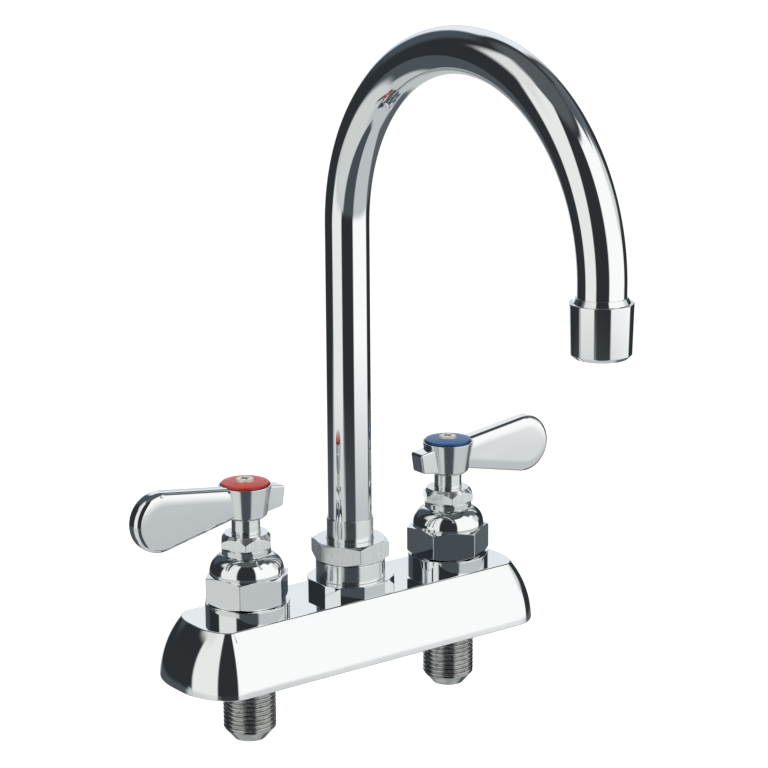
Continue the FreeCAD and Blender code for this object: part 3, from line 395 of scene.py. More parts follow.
def joined(*shells):
    """Several shells as one."""
    points, normals, faces = [], [], []
    for shell_points, shell_normals, shell_faces in shells:
        faces += [tuple(index + len(points) for index in face) for face in shell_faces]
        points += shell_points
        normals += shell_normals
    return points, normals, faces


def welded(points, normals, faces):
    """Merge points that share a place and a normal, and drop the faces that this closes."""
    places, kept, merged = {}, [], []
    for point, normal in zip(points, normals):
        # Places agree to 0.0001 mm and normals to 0.001
        key = tuple(round(value, 4) for value in (*point, *(normal * 0.1)))
        if key not in places:
            places[key] = len(kept)
            kept.append((point, normal))
        merged.append(places[key])
    solid_faces = []
    for face in faces:
        corners = [merged[index] for index in face]
        corners = [corner for place, corner in enumerate(corners) if corner != corners[place - 1]]
        if len(corners) > 2:
            solid_faces.append(corners)
    return [point for point, _ in kept], [normal for _, normal in kept], solid_faces


def make_piece(name, shell, body, node, material):
    """Turn a shell into a named piece that rides on a body and stands for a packed node."""
    points, normals, faces = welded(*shell)
    mesh = bpy.data.meshes.new(name)
    mesh.from_pydata([point * MM for point in points], [], faces)
    mesh.shade_smooth()
    mesh.normals_split_custom_set_from_vertices([normal.normalized() for normal in normals])
    mesh.materials.append(material)
    piece = bpy.data.objects.new(name, mesh)
    bpy.context.scene.collection.objects.link(piece)
    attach(piece, body)
    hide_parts(node)
    return piece


# Nodes and materials

def add_node(tree, kind, inputs=None, **settings):
    """Add a shader node. Inputs are sockets to link from or values to set, by socket name or number."""
    node = tree.nodes.new(kind)
    for name, setting in settings.items():
        setattr(node, name, setting)
    for socket, source in (inputs or {}).items():
        if isinstance(source, bpy.types.NodeSocket):
            tree.links.new(source, node.inputs[socket])
        else:
            node.inputs[socket].default_value = source
    return node


def noise(tree, spacings, detail):
    """Noise whose grains measure the three spacings, in millimetres, along X, Y and Z."""
    place = add_node(tree, "ShaderNodeTexCoord").outputs["Object"]
    scale = tuple(1 / (spacing * MM) for spacing in spacings)
    stretched = add_node(tree, "ShaderNodeVectorMath", {0: place, 1: scale}, operation="MULTIPLY")
    return add_node(tree, "ShaderNodeTexNoise", {
        "Vector": stretched.outputs[0], "Scale": 1.0, "Detail": detail}).outputs[0]


def new_finish(name, base, gloss, grain, relief=0.0, waves=None, shade=None, patches=None,
               metallic=1.0, ior=None, blur=0.0):
    """A material whose roughness, height and colour follow noises of a real size.

    gloss is its lowest and highest roughness, and relief its height in millimetres. A noise is three
    spacings in millimetres and its detail. The grain varies the roughness, the waves the height and the
    patches the colour, from shade to base. Without waves or patches the grain does their work too.
    blur draws reflections out up and down, from none to all.
    """
    material = bpy.data.materials.get(name) or bpy.data.materials.new(name)
    material.use_nodes = True
    tree = material.node_tree
    tree.nodes.clear()
    surface = add_node(tree, "ShaderNodeBsdfPrincipled", {"Base Color": (*base, 1), "Metallic": metallic})
    add_node(tree, "ShaderNodeOutputMaterial", {"Surface": surface.outputs[0]})
    if ior:
        surface.inputs["IOR"].default_value = ior
    # Most of a noise lies between these two values
    spread = {"From Min": 0.3, "From Max": 0.7}
    fine = noise(tree, *grain)
    rough = add_node(tree, "ShaderNodeMapRange", {
        "Value": fine, "To Min": gloss[0], "To Max": gloss[1], **spread})
    tree.links.new(rough.outputs[0], surface.inputs["Roughness"])
    if relief:
        height = noise(tree, *waves) if waves else fine
        bump = add_node(tree, "ShaderNodeBump", {
            "Height": height, "Distance": relief * MM, "Strength": 1.0})
        tree.links.new(bump.outputs[0], surface.inputs["Normal"])
    if shade:
        mottling = noise(tree, *patches) if patches else fine
        share = add_node(tree, "ShaderNodeMapRange", {"Value": mottling, **spread})
        mixed = add_node(tree, "ShaderNodeMix", {
            "Factor": share.outputs[0], 6: (*shade, 1), 7: (*base, 1)}, data_type="RGBA")
        tree.links.new(mixed.outputs[2], surface.inputs["Base Color"])
    if blur:
        surface.inputs["Anisotropic"].default_value = blur
        upright = add_node(tree, "ShaderNodeCombineXYZ", {"Z": 1.0})
        tree.links.new(upright.outputs[0], surface.inputs["Tangent"])
    return material


def darker(colour_values, share):
    """A linear colour at a share of its brightness."""
    return tuple(channel * share for channel in colour_values)


def chrome_plate_buffed(finishes):
    """Chrome plate on a buffed brass casting.

    A clear mirror that is not quite flat: buffing leaves waves some 20 mm long, and a faint haze.
    """
    gloss = (finishes.haze * 0.7, finishes.haze * 1.6)
    return new_finish("chrome_plate_buffed", finishes.chrome, gloss, ((6, 6, 6), 2.0),
                      relief=0.06, waves=((22, 22, 16), 1.0))


def chrome_plate_drawn(finishes):
    """Chrome plate on drawn and bent tube: the clearest mirror, with faint draw lines along it."""
    gloss = (finishes.haze * 0.6, finishes.haze * 1.5)
    return new_finish("chrome_plate_drawn", finishes.chrome, gloss, ((1.2, 9, 30), 2.0),
                      relief=0.03, waves=((14, 14, 60), 0.0))


def chrome_plate_turned(finishes):
    """Chrome plate over lathe work: tool lines round the axis blur what it mirrors up and down.

    The real lines are about 0.1 mm apart and are drawn 0.5 mm apart so that they show.
    """
    return new_finish("chrome_plate_turned", finishes.chrome, (0.12, 0.24), ((400, 400, 0.5), 3.0),
                      relief=0.003, blur=0.9)


def chrome_plate_milled(finishes):
    """Chrome plate over milled flats: cutter marks give the faces an upright, satin grain.

    The real marks are about 0.2 mm apart and are drawn 0.5 mm apart so that they show.
    """
    return new_finish("chrome_plate_milled", finishes.chrome, (0.1, 0.26), ((0.5, 0.5, 4), 3.0),
                      relief=0.02)


def nickel_plate_threaded(finishes):
    """Nickel on cut thread: crests that mirror softly, and duller, darker patches some 3 mm across."""
    return new_finish("nickel_plate_threaded", finishes.nickel, (0.12, 0.24), ((0.5, 0.5, 0.5), 2.0),
                      shade=linear("#A6A6A3"), patches=((3, 3, 1.8), 4.0))


def moulded_cap(name, base):
    """Injection moulded ABS, coloured through: glossy, with a moulded texture 1.1 mm across."""
    return new_finish(name, base, (0.2, 0.4), ((1.1, 1.1, 1.1), 3.0), relief=0.07,
                      shade=darker(base, 0.8), patches=((2.5, 2.5, 2.5), 2.0), metallic=0.0, ior=1.54)


def nickel_plate_headed(finishes):
    """Bright nickel on a headed steel screw: pale, warm and softly scuffed, with a whitish bloom."""
    return new_finish("nickel_plate_headed", finishes.screw, (0.22, 0.4), ((0.4, 1.5, 0.4), 3.0),
                      metallic=0.45)


def one_grain_finish(name, hex_colour, metallic, gloss, spacings, relief, ior=None):
    """A finish whose one fine grain varies its colour a little, its roughness and its height."""
    base = linear(hex_colour)
    return new_finish(name, base, gloss, (spacings, 3.0), relief, shade=darker(base, 0.85),
                      metallic=metallic, ior=ior)


def recess_painted_shade():
    """Punched nickel in a screw's recess, dark and matt: its colour is painted shade for the deep recess.
    """
    return one_grain_finish("recess_painted_shade", "#4A4843", 0.6, (0.5, 0.7), (0.4, 0.4, 0.4), 0.01)


def inner_finishes():
    """Finishes of the packed pieces that keep their own meshes, by the end of the node's name."""
    # Turned brass: warm metal with fine lathe lines
    brass = one_grain_finish("brass_turned", "#C9A766", 1.0, (0.18, 0.32), (60, 60, 0.4), 0.004)
    # Alumina, lapped flat: white and slightly glossy
    alumina = one_grain_finish("alumina_lapped", "#ECEAE2", 0.0, (0.12, 0.2), (2, 2, 2), 0.002, 1.77)
    # Nitrile rubber, moulded: soft black
    rubber = one_grain_finish("nitrile_moulded", "#1C1C1D", 0.0, (0.5, 0.7), (0.5, 0.5, 0.5), 0.01, 1.52)
    # PTFE, turned from rod: waxy white
    ptfe = one_grain_finish("ptfe_turned", "#EDEDEA", 0.0, (0.4, 0.55), (40, 40, 0.5), 0.005, 1.38)
    # Acetal, moulded: off-white and satin
    acetal = one_grain_finish("acetal_moulded", "#D9D9D5", 0.0, (0.35, 0.5), (0.8, 0.8, 0.8), 0.006, 1.48)
    # Stainless sheet, etched: grey with a fine tooth
    sheet = one_grain_finish("stainless_etched", "#B4B5B4", 1.0, (0.25, 0.4), (0.3, 0.3, 0.3), 0.005)
    return {
        "seat_ring": rubber, "cartridge_shell": brass, "fixed_disc": alumina, "moving_disc": alumina,
        "stem_seal": rubber, "stem_packing": ptfe, "swivel_washer": ptfe, "spout_seal": rubber,
        "aerator_seal": rubber, "aerator_mixer": acetal, "aerator_screen": sheet,
    }


# The casting

def casting_plan(sizes):
    """Plan of the casting, whose corners are quarters of an ellipse.

    It stands in by the middle radius of the corners, and the section goes out from it again.
    """
    corner_x = sizes.foot_length / 2 - sizes.corner_along
    corner_y = sizes.foot_width / 2 - sizes.corner_across
    plan = []
    quarter_steps = 30
    for quarter, (sign_x, sign_y) in enumerate(((1, 1), (-1, 1), (-1, -1), (1, -1))):
        for step in range(quarter_steps + 1):
            angle = RIGHT_ANGLE * (quarter + step / quarter_steps)
            along, across = math.cos(angle), math.sin(angle)
            facing = Vector((along * sizes.corner_across, across * sizes.corner_along)).normalized()
            edge = Vector((corner_x * sign_x + along * sizes.corner_along,
                           corner_y * sign_y + across * sizes.corner_across))
            plan.append((*(edge - facing * sizes.corner), *facing))
    return plan


def casting_section(sizes):
    """Wall of the casting: up the hollow's drafted side, round the foot, up the domed side."""
    lip_out = sizes.corner - sizes.lip * math.tan(sizes.draft)
    chord = Vector((sizes.corner - sizes.inset - lip_out, sizes.flat_top - sizes.lip))
    facing = Vector((math.cos(sizes.draft), math.sin(sizes.draft)))
    side_radius = -chord.length_squared / (2 * chord.dot(facing))
    centre = Vector((lip_out, sizes.lip)) - facing * side_radius
    top_angle = math.degrees(math.asin((sizes.flat_top - centre.y) / side_radius))
    side = arc(*centre, side_radius, math.degrees(sizes.draft), top_angle - ARC_GAP, steps=22)
    inner, hollow_round = sizes.corner - sizes.wall, 1.5
    return softened([
        (inner - sizes.inset, sizes.flat_top - sizes.wall, hollow_round),
        (inner, 0, EASED),
        (sizes.corner, 0, sizes.foot_edge),
        *side,
        (sizes.corner - sizes.inset, sizes.flat_top, sizes.top_edge),
    ], ends=-sizes.foot_width)


def well_section(sizes, seat_radius, well_foot, bore_foot, socket_radius):
    """A seat above the flat top and the bored well below it, as one ring."""
    inside_plate = sizes.flat_top - sizes.wall / 2
    cavity_radius, cast_round = 12.0, 0.8
    return [
        (socket_radius, well_foot, EASED),
        (sizes.well_radius, well_foot, cast_round),
        (sizes.well_radius, inside_plate, CRISP),
        (seat_radius, inside_plate, CRISP),
        (seat_radius, sizes.seat_top, sizes.seat_edge),
        (cavity_radius, sizes.seat_top, EASED),
        (cavity_radius, bore_foot, EASED),
        (socket_radius, bore_foot, EASED),
    ]


def spout_seat_corners(sizes):
    """Corners of the seat under the spout: a hexagon with its own corners cut."""
    corner_angle, cut = math.radians(30), math.radians(11)
    reach = sizes.spout_seat
    flat = reach * math.cos(corner_angle - cut)
    quarter = [
        (flat, reach * math.sin(corner_angle - cut)),
        (reach * math.cos(corner_angle + cut), reach * math.sin(corner_angle + cut)),
        (2 * flat - math.sqrt(3) * sizes.spout_seat_half, sizes.spout_seat_half),
    ]
    half = quarter + [(-x, y) for x, y in reversed(quarter)]
    return half + [(-x, -y) for x, y in half]


def passage(sizes, start, end):
    """Outside of the water passage between two wells, lying along X."""
    lying = Matrix.Translation((start, 0, sizes.passage_height)) @ Matrix.Rotation(RIGHT_ANGLE, 4, "Y")
    section = softened([(sizes.passage_radius, 0, CRISP), (sizes.passage_radius, end - start, CRISP)],
                       ends=0)
    return swept(circle_plan(steps=64), section, lying, ringed=False)


class FAUCET_OT_casting(bpy.types.Operator):
    """Build the hollow cast body with its seats, wells and water passage."""
    bl_idname = "faucet.casting"
    bl_label = "Casting"

    def execute(self, context):
        sizes = in_mm(context.scene.faucet_casting)
        valve_bore_foot, spout_bore_foot, socket_radius = 9.0, 12.0, 8.0
        shells = [swept(casting_plan(sizes), casting_section(sizes), Matrix(), ringed=False)]
        section = softened(well_section(sizes, sizes.seat_radius, sizes.valve_well_foot, valve_bore_foot,
                                        socket_radius))
        for side in SIDES:
            shells.append(turned(section, axis_of(f"{side}_stem")))
        valve_x = axis_of("cold_stem").x
        overlap = 1.0
        inside_wall = sizes.well_radius - overlap
        shells.append(passage(sizes, inside_wall, valve_x - inside_wall))
        shells.append(passage(sizes, inside_wall - valve_x, -inside_wall))
        shells.append(milled(
            polygon_plan(spout_seat_corners(sizes), corner_round=0.3),
            lambda wall: well_section(sizes, wall, sizes.spout_well_foot, spout_bore_foot, socket_radius),
            lean=0.7, edge=sizes.seat_edge * 2, axis=Vector()))
        make_piece("chromed_casting", joined(*shells), "deck_body", "body_casting",
                   chrome_plate_buffed(context.scene.faucet_finishes))
        return {"FINISHED"}


# The valves

def thread_radius(turn_share, crest, depth):
    """Radius of the thread at a share of its pitch: crest, flank, root and flank."""
    crest_share, root_share = 0.34, 0.16
    flank = (1 - crest_share - root_share) / 2
    into_flank = min(abs(turn_share - 0.5) * 2, 1.0)
    share = (into_flank - crest_share) / (2 * flank)
    return crest - depth * min(max(share, 0.0), 1.0)


def threaded(sizes, axis, low, high, crest):
    """Outside of a shank: a thread cut along a helix, with a lead-in on top and a conical lower end."""
    rows_each_turn, around = 10, 96
    pitch = sizes.thread_pitch
    rows = (math.ceil((high - low) / pitch) + 2) * rows_each_turn + 1
    points, faces = [], []
    for column in range(around + 1):
        angle = FULL_TURN * column / around
        for row in range(rows):
            turns = row / rows_each_turn
            height = min(max(low + pitch * (turns - 1 + column / around), low), high)
            cone = crest - sizes.shank_cone_inset * max(0.0, 1 - (height - low) / sizes.shank_cone)
            lead = crest - sizes.thread_depth * max(0.0, 1 - (high - height) / pitch)
            radius = min(thread_radius(turns % 1, crest, sizes.thread_depth), cone, lead)
            points.append(axis + Vector((radius * math.cos(angle), radius * math.sin(angle), height)))
    for column in range(around):
        here, there = column * rows, (column + 1) * rows
        faces += [(here + row, there + row, there + row + 1, here + row + 1) for row in range(rows - 1)]
    return points, faces


class FAUCET_OT_shanks(bpy.types.Operator):
    """Build the two threaded supply shanks."""
    bl_idname = "faucet.shanks"
    bl_label = "Supply shanks"

    def execute(self, context):
        sizes = in_mm(context.scene.faucet_valves)
        material = nickel_plate_threaded(context.scene.faucet_finishes)
        for side in SIDES:
            low, high = box_mm(f"{side}_supply_shank")
            axis = axis_of(f"{side}_supply_shank")
            shell = shank_shell(sizes, axis, low.z, high.z, (high.x - low.x) / 2)
            make_piece(f"{side}_threaded_shank", shell, "deck_body", f"{side}_supply_shank",
                       material)
        return {"FINISHED"}


def shank_shell(sizes, axis, low, high, crest):
    """Thread outside, plain bore inside and flat rings at both ends."""
    well_foot, spigot, bore = 3.5, 8.0, 5.5
    points, faces = threaded(sizes, axis, low, well_foot, crest)
    normals = facing_of(points, faces)
    inside = turned(softened([
        (crest - sizes.thread_depth, well_foot, 0.05), (spigot, well_foot, CRISP), (spigot, high, EASED),
        (bore, high, EASED), (bore, low, 0.4), (crest - sizes.shank_cone_inset, low, 0.05),
    ])[2:-3], axis)
    # The faces from the last row back to the first are left out, because the thread takes their place
    rows = len(inside[0]) // TURNING_STEPS
    inside_faces = [face for face in inside[2] if max(index % rows for index in face)
                    - min(index % rows for index in face) < rows - 1]
    return joined((points, normals, faces), (inside[0], inside[1], inside_faces))


def facing_of(points, faces):
    """Smooth normals worked out from the faces. Points within 0.001 mm share theirs."""
    places = {}
    for face in faces:
        a, b, c, d = (points[index] for index in face)
        facing = (c - a).cross(d - b)
        for index in face:
            key = tuple(round(value, 3) for value in points[index])
            places[key] = places.get(key, Vector()) + facing
    return [places[tuple(round(value, 3) for value in point)].normalized() for point in points]


class FAUCET_OT_bonnets(bpy.types.Operator):
    """Build the two hexagon bonnets with their domes."""
    bl_idname = "faucet.bonnets"
    bl_label = "Bonnets"

    def execute(self, context):
        sizes = in_mm(context.scene.faucet_valves)
        material = chrome_plate_buffed(context.scene.faucet_finishes)
        seat_top = context.scene.faucet_casting.seat_top / MM
        for side in SIDES:
            low, high = box_mm(f"{side}_bonnet")
            plan = polygon_plan(hexagon_corners(sizes.bonnet_flats, BONNET_TURN[side]), corner_round=0.45)
            shell = milled(plan, lambda wall: bonnet_section(sizes, wall, low.z, seat_top, high.z),
                           lean=0.85, edge=0.12, axis=axis_of(f"{side}_stem"))
            make_piece(f"{side}_hexagon_bonnet", shell, "deck_body", f"{side}_bonnet",
                       material)
        return {"FINISHED"}


def bonnet_section(sizes, wall, thread_foot, foot, top):
    """Section of a bonnet where its milled wall stands at a given radius."""
    thread, relief, relief_top, stem_bore = 12.0, 8.4, 30.4, 5.81
    packing_radius, packing_level = 8.0, 44.5
    chamfer_start, dome_step = 0.15, 0.1
    half_flats = sizes.bonnet_flats / 2
    corner = sizes.bonnet_flats / math.sqrt(3)
    chamfer_radius = half_flats - chamfer_start
    span = corner - chamfer_radius
    shoulder = foot + sizes.bonnet_hexagon
    spring = shoulder + sizes.dome_skirt
    dome_foot = half_flats - dome_step
    dome_centre = dome_foot - sizes.dome_round
    collar_angle = math.degrees(math.acos((sizes.collar_radius - dome_centre) / sizes.dome_round))
    return [
        (thread, thread_foot, EASED),
        (thread, foot, CRISP),
        (chamfer_radius, foot, CRISP),
        (wall, foot + sizes.bonnet_foot_chamfer * (wall - chamfer_radius) / span, sizes.hexagon_edge),
        (wall, shoulder - sizes.bonnet_top_chamfer * (wall - chamfer_radius) / span, sizes.hexagon_edge),
        (dome_foot, shoulder, CRISP),
        *arc(dome_centre, spring, sizes.dome_round, 0, collar_angle - ARC_GAP, steps=20),
        (sizes.collar_radius, spring + sizes.dome_round * math.sin(math.radians(collar_angle)), EASED),
        (sizes.collar_radius, top, BROKEN),
        (packing_radius, top, BROKEN),
        (packing_radius, packing_level, BROKEN),
        (stem_bore, packing_level, BROKEN),
        (stem_bore, relief_top, BROKEN),
        (relief, relief_top, BROKEN),
        (relief, thread_foot, EASED),
    ]


class FAUCET_OT_packing_nuts(bpy.types.Operator):
    """Build the two small hexagon packing nuts."""
    bl_idname = "faucet.packing_nuts"
    bl_label = "Packing nuts"

    def execute(self, context):
        sizes = in_mm(context.scene.faucet_valves)
        material = chrome_plate_milled(context.scene.faucet_finishes)
        for side in SIDES:
            low, high = box_mm(f"{side}_packing_nut")
            plan = polygon_plan(hexagon_corners(sizes.nut_flats, PACKING_NUT_TURN[side]), corner_round=0.4)
            shell = milled(plan, lambda wall: packing_nut_section(sizes, wall, low.z, high.z),
                           lean=0.65, edge=0.2, axis=axis_of(f"{side}_stem"))
            make_piece(f"{side}_small_hexagon_nut", shell, "deck_body", f"{side}_packing_nut",
                       material)
        return {"FINISHED"}


def packing_nut_section(sizes, wall, thread_foot, top):
    """Section of a packing nut where its milled wall stands at a given radius."""
    stem_bore, thread = 5.81, 8.0
    foot = top - sizes.nut_height
    corner = sizes.nut_flats / math.sqrt(3)
    slope = sizes.nut_chamfer / (corner - sizes.nut_crown)
    return [
        (thread, thread_foot, EASED),
        (thread, foot - sizes.washer_height, CRISP),
        (sizes.washer_face, foot - sizes.washer_height, CRISP),
        (sizes.washer_face, foot, CRISP),
        (wall, foot, sizes.hexagon_edge),
        (wall, top - slope * (wall - sizes.nut_crown), sizes.hexagon_edge),
        (sizes.nut_crown, top, sizes.hexagon_edge),
        (stem_bore, top, EASED),
        (stem_bore, thread_foot, EASED),
    ]


# The levers

def blade_plan(sizes, foot):
    """Side view of the blade: two straight edges that run into the round paddle end."""
    tip_centre = Vector((sizes.reach - sizes.tip_radius, foot + sizes.tip_rise))
    inside_hub, root_round = 4.0, 5.4
    roots, touches = [], []
    for height, side in ((foot + sizes.root_low, -1), (foot + sizes.hub_height, 1)):
        edge_start = Vector((sizes.root, height))
        away = tip_centre - edge_start
        angle = math.atan2(-away.y, -away.x) - side * math.acos(sizes.tip_radius / away.length)
        touch = tip_centre + Vector((math.cos(angle), math.sin(angle))) * sizes.tip_radius
        share = (inside_hub - edge_start.x) / (touch.x - edge_start.x)
        roots.append(edge_start + (touch - edge_start) * share)
        touches.append(math.degrees(angle))
    low, high = touches
    tip = arc(*tip_centre, sizes.tip_radius, low, high if high > low else high + 360, steps=48)
    return softened([(*roots[0], root_round), *tip, (*roots[1], root_round)])


def blade_section(sizes):
    """Across the blade's rim: rounded, then a fine crease and a face that swells a little."""
    half, rim = sizes.thickness / 2, sizes.rim_round
    crease_angle, crease_width, face_start, swell_radius = 70, 0.08, 5.2, 75.0
    crease_in = rim * (1 - math.cos(math.radians(crease_angle)))
    swell = math.degrees(math.asin((face_start - crease_in - crease_width) / swell_radius))
    upper = [
        *arc(-rim, half - rim, rim, 0, crease_angle, steps=12),
        *arc(-face_start, half - swell_radius, swell_radius, 90 - swell, 90, steps=8),
    ]
    lower = [(out, -height, lean, -rise) for out, height, lean, rise in reversed(upper)]
    return lower + upper


def tail_shell(sizes, foot, standing):
    """Short tail behind the hub, a blunt wedge with softened edges."""
    top = foot + sizes.hub_height
    corners = [
        (sizes.tail_lean - sizes.tail_reach, foot + sizes.root_low + sizes.tail_slope),
        (-sizes.root, foot + sizes.root_low),
        (-sizes.root, top - sizes.tail_drop),
        (-sizes.tail_reach, top - sizes.tail_drop - sizes.tail_slope),
    ]
    half, edge = sizes.tail_thickness / 2, 0.7
    section = softened([(0, -half, edge), (0, half, edge)], ends=-sizes.reach)
    return swept(polygon_plan(corners, corner_round=1.1), section, standing, ringed=False)


def hub_section(sizes, foot):
    """Conical hub with a chamfered foot and the pocket for the cap."""
    top = foot + sizes.hub_height
    return softened([
        (sizes.hub_foot_radius - sizes.hub_chamfer, foot, 0.15),
        (sizes.hub_foot_radius, foot + sizes.hub_chamfer, 0.25),
        (sizes.hub_top_radius, top, 0.25),
        (sizes.pocket_radius, top, 0.15),
        (sizes.pocket_radius, top - sizes.pocket_depth, CRISP),
    ], ends=0)


def lever_foot(sizes, side):
    """Height of the hub's foot above the deck."""
    return box_mm(f"{side}_index_cap")[0].z + sizes.pocket_depth - sizes.hub_height


def arms_shell(sizes, side):
    """Blade and tail of one lever."""
    turning = Matrix.Translation(axis_of(f"{side}_stem")) @ Matrix.Rotation(
        math.radians(LEVER_TURN[side]), 4, "Z")
    standing = turning @ Matrix.Rotation(RIGHT_ANGLE, 4, "X")
    foot = lever_foot(sizes, side)
    blade = swept(blade_plan(sizes, foot), blade_section(sizes), standing, ringed=False)
    return joined(blade, tail_shell(sizes, foot, standing))


class FAUCET_OT_levers(bpy.types.Operator):
    """Build the two levers."""
    bl_idname = "faucet.levers"
    bl_label = "Levers"

    def execute(self, context):
        sizes = in_mm(context.scene.faucet_levers)
        buffed = chrome_plate_buffed(context.scene.faucet_finishes)
        lathed = chrome_plate_turned(context.scene.faucet_finishes)
        for side in SIDES:
            hub = turned(hub_section(sizes, lever_foot(sizes, side)), axis_of(f"{side}_stem"), ringed=False)
            make_piece(f"{side}_lever_hub", hub, f"{side}_control", f"{side}_lever",
                       lathed)
            make_piece(f"{side}_lever_paddle", arms_shell(sizes, side), f"{side}_control", f"{side}_lever",
                       buffed)
        return {"FINISHED"}


class FAUCET_OT_caps(bpy.types.Operator):
    """Build the red and the blue cap."""
    bl_idname = "faucet.caps"
    bl_label = "Colour caps"

    def execute(self, context):
        sizes = in_mm(context.scene.faucet_levers)
        finishes = context.scene.faucet_finishes
        for side in SIDES:
            low, high = box_mm(f"{side}_index_cap")
            hole, play, pocket_depth, pocket_edge = 2.1, 0.15, 1.2, 0.2
            pocket = sizes.screw_head + play
            rim = high.z - sizes.cap_crown
            span = sizes.cap_radius - pocket
            crown_radius = span ** 2 / (2 * sizes.cap_crown) + sizes.cap_crown / 2
            start = 90 - math.degrees(math.asin(span / crown_radius))
            section = softened([
                (hole, low.z, CRISP), (sizes.cap_radius, low.z, CRISP), (sizes.cap_radius, rim, 0.35),
                *arc(pocket, high.z - crown_radius, crown_radius, start + ARC_GAP, 90, steps=12),
                (pocket, high.z - pocket_edge, CRISP), (pocket, high.z - pocket_depth, CRISP),
                (hole, high.z - pocket_depth, CRISP),
            ])
            base = finishes.hot_cap if side == "hot" else finishes.cold_cap
            cap = turned(section, axis_of(f"{side}_index_cap"))
            make_piece(f"{side}_colour_cap", cap, f"{side}_control", f"{side}_index_cap",
                       moulded_cap(f"abs_moulded_{side}", base))
        return {"FINISHED"}


def cross_outline(half_length, half_width):
    """Corners of the cross recess, anticlockwise from the arm on the right."""
    arm = [(half_length, -half_width), (half_length, half_width), (half_width, half_width)]
    return [turned_by(Vector(corner), RIGHT_ANGLE * quarter) for quarter in range(4) for corner in arm]


def screw_shell(sizes, axis, foot, top):
    """Machine screw: plain shank, low round head and a cross recess."""
    shank_radius, head_height, under_head = 2.0, 1.9, 0.7
    crown = sizes.screw_head - under_head
    sides = softened([
        (shank_radius, foot, EASED), (shank_radius, top - head_height, CRISP),
        (sizes.screw_head, top - head_height, CRISP), (sizes.screw_head, top - under_head, 0.5),
        (crown, top, 0.5),
    ], ends=0)
    body = turned(sides, axis, ringed=False)
    # The disc that closes the head makes way for a flat ring round the cross
    body[2].pop()
    crown_edge = sides[-1][0]
    ring = [axis + Vector((x * crown_edge, y * crown_edge, top)) for _, _, x, y in circle_plan()]
    half_length, half_width = sizes.cross_length / 2, sizes.cross_width / 2
    shorter, narrower = 0.35, 0.12
    mouth = [axis + Vector((*corner, top)) for corner in cross_outline(half_length, half_width)]
    floor = [axis + Vector((*corner, top - sizes.cross_depth))
             for corner in cross_outline(half_length - shorter, half_width - narrower)]
    flat_points = ring + mouth
    flat = []
    for triangle in tessellate_polygon([ring, mouth]):
        a, b, c = (flat_points[index] for index in triangle)
        flat.append(tuple(triangle) if (b - a).cross(c - a).z > 0 else tuple(reversed(triangle)))
    shells = [
        body,
        (flat_points, [UP] * len(flat_points), flat),
        (floor, [UP] * CROSS_CORNERS, [tuple(range(CROSS_CORNERS))]),
    ]
    for corner in range(CROSS_CORNERS):
        after = (corner + 1) % CROSS_CORNERS
        wall = [mouth[after], mouth[corner], floor[corner], floor[after]]
        facing = (wall[2] - wall[0]).cross(wall[3] - wall[1]).normalized()
        shells.append((wall, [facing] * 4, [(0, 1, 2, 3)]))
    return joined(*shells)


class FAUCET_OT_screws(bpy.types.Operator):
    """Build the two lever screws."""
    bl_idname = "faucet.screws"
    bl_label = "Lever screws"

    def execute(self, context):
        sizes = in_mm(context.scene.faucet_levers)
        material = nickel_plate_headed(context.scene.faucet_finishes)
        # Dark matt finish for the cross recess: painted shade
        recess = recess_painted_shade()
        for side in SIDES:
            low, high = box_mm(f"{side}_lever_screw")
            shell = screw_shell(sizes, axis_of(f"{side}_lever_screw"), low.z, high.z)
            screw = make_piece(f"{side}_cross_screw", shell, f"{side}_control", f"{side}_lever_screw",
                               material)
            # The faces of the cross recess take the dark finish, painted shade in the recess
            screw.data.materials.append(recess)
            for face in screw.data.polygons[-RECESS_FACES:]:
                face.material_index = 1
        return {"FINISHED"}


# The spout

class FAUCET_OT_neck(bpy.types.Operator):
    """Build the neck and the swivel nut."""
    bl_idname = "faucet.neck"
    bl_label = "Neck and swivel nut"

    def execute(self, context):
        sizes = in_mm(context.scene.faucet_spout)
        finishes = context.scene.faucet_finishes
        seat_top = context.scene.faucet_casting.seat_top / MM
        low, high = box_mm("spout_nipple")
        neck_top = seat_top + sizes.neck_height
        thread, nose, bore, chamber, bore_foot = 12.0, 13.0, 10.86, 8.0, 32.4
        section = softened([
            (chamber, low.z, BROKEN), (thread, low.z, 0.4), (thread, seat_top, CRISP),
            (sizes.neck_radius, seat_top, EASED), (sizes.neck_radius, neck_top, 0.35),
            (nose, neck_top, CRISP), (nose, high.z, EASED), (bore, high.z, EASED),
            (bore, bore_foot, BROKEN), (chamber, bore_foot, BROKEN),
        ])
        make_piece("spout_neck", turned(section, Vector()), "deck_body", "spout_nipple",
                   chrome_plate_turned(finishes))
        low, high = box_mm("swivel_nut")
        plan = polygon_plan(hexagon_corners(sizes.nut_flats, SWIVEL_NUT_TURN), corner_round=0.45)
        shell = milled(plan, lambda wall: swivel_nut_section(sizes, wall, low.z, high.z),
                       lean=0.8, edge=0.12, axis=Vector())
        make_piece("spout_swivel_nut", shell, "deck_body", "swivel_nut",
                   chrome_plate_milled(finishes))
        return {"FINISHED"}


def swivel_nut_section(sizes, wall, foot, top):
    """Section of the swivel nut where its milled wall stands at a given radius."""
    nose, lip, edge, clearance, chamfer_start = 13.0, 1.4, 0.22, 0.1, 0.15
    lip_radius = sizes.sleeve_radius + clearance
    chamfer_radius = sizes.nut_flats / 2 - chamfer_start
    span = sizes.nut_flats / math.sqrt(3) - chamfer_radius
    return [
        (nose, foot, BROKEN),
        (chamfer_radius, foot, CRISP),
        (wall, foot + sizes.nut_foot_chamfer * (wall - chamfer_radius) / span, edge),
        (wall, top - sizes.nut_top_chamfer * (wall - chamfer_radius) / span, edge),
        (chamfer_radius, top, 0.15),
        (lip_radius, top, EASED),
        (lip_radius, top - lip, BROKEN),
        (nose, top - lip, BROKEN),
    ]


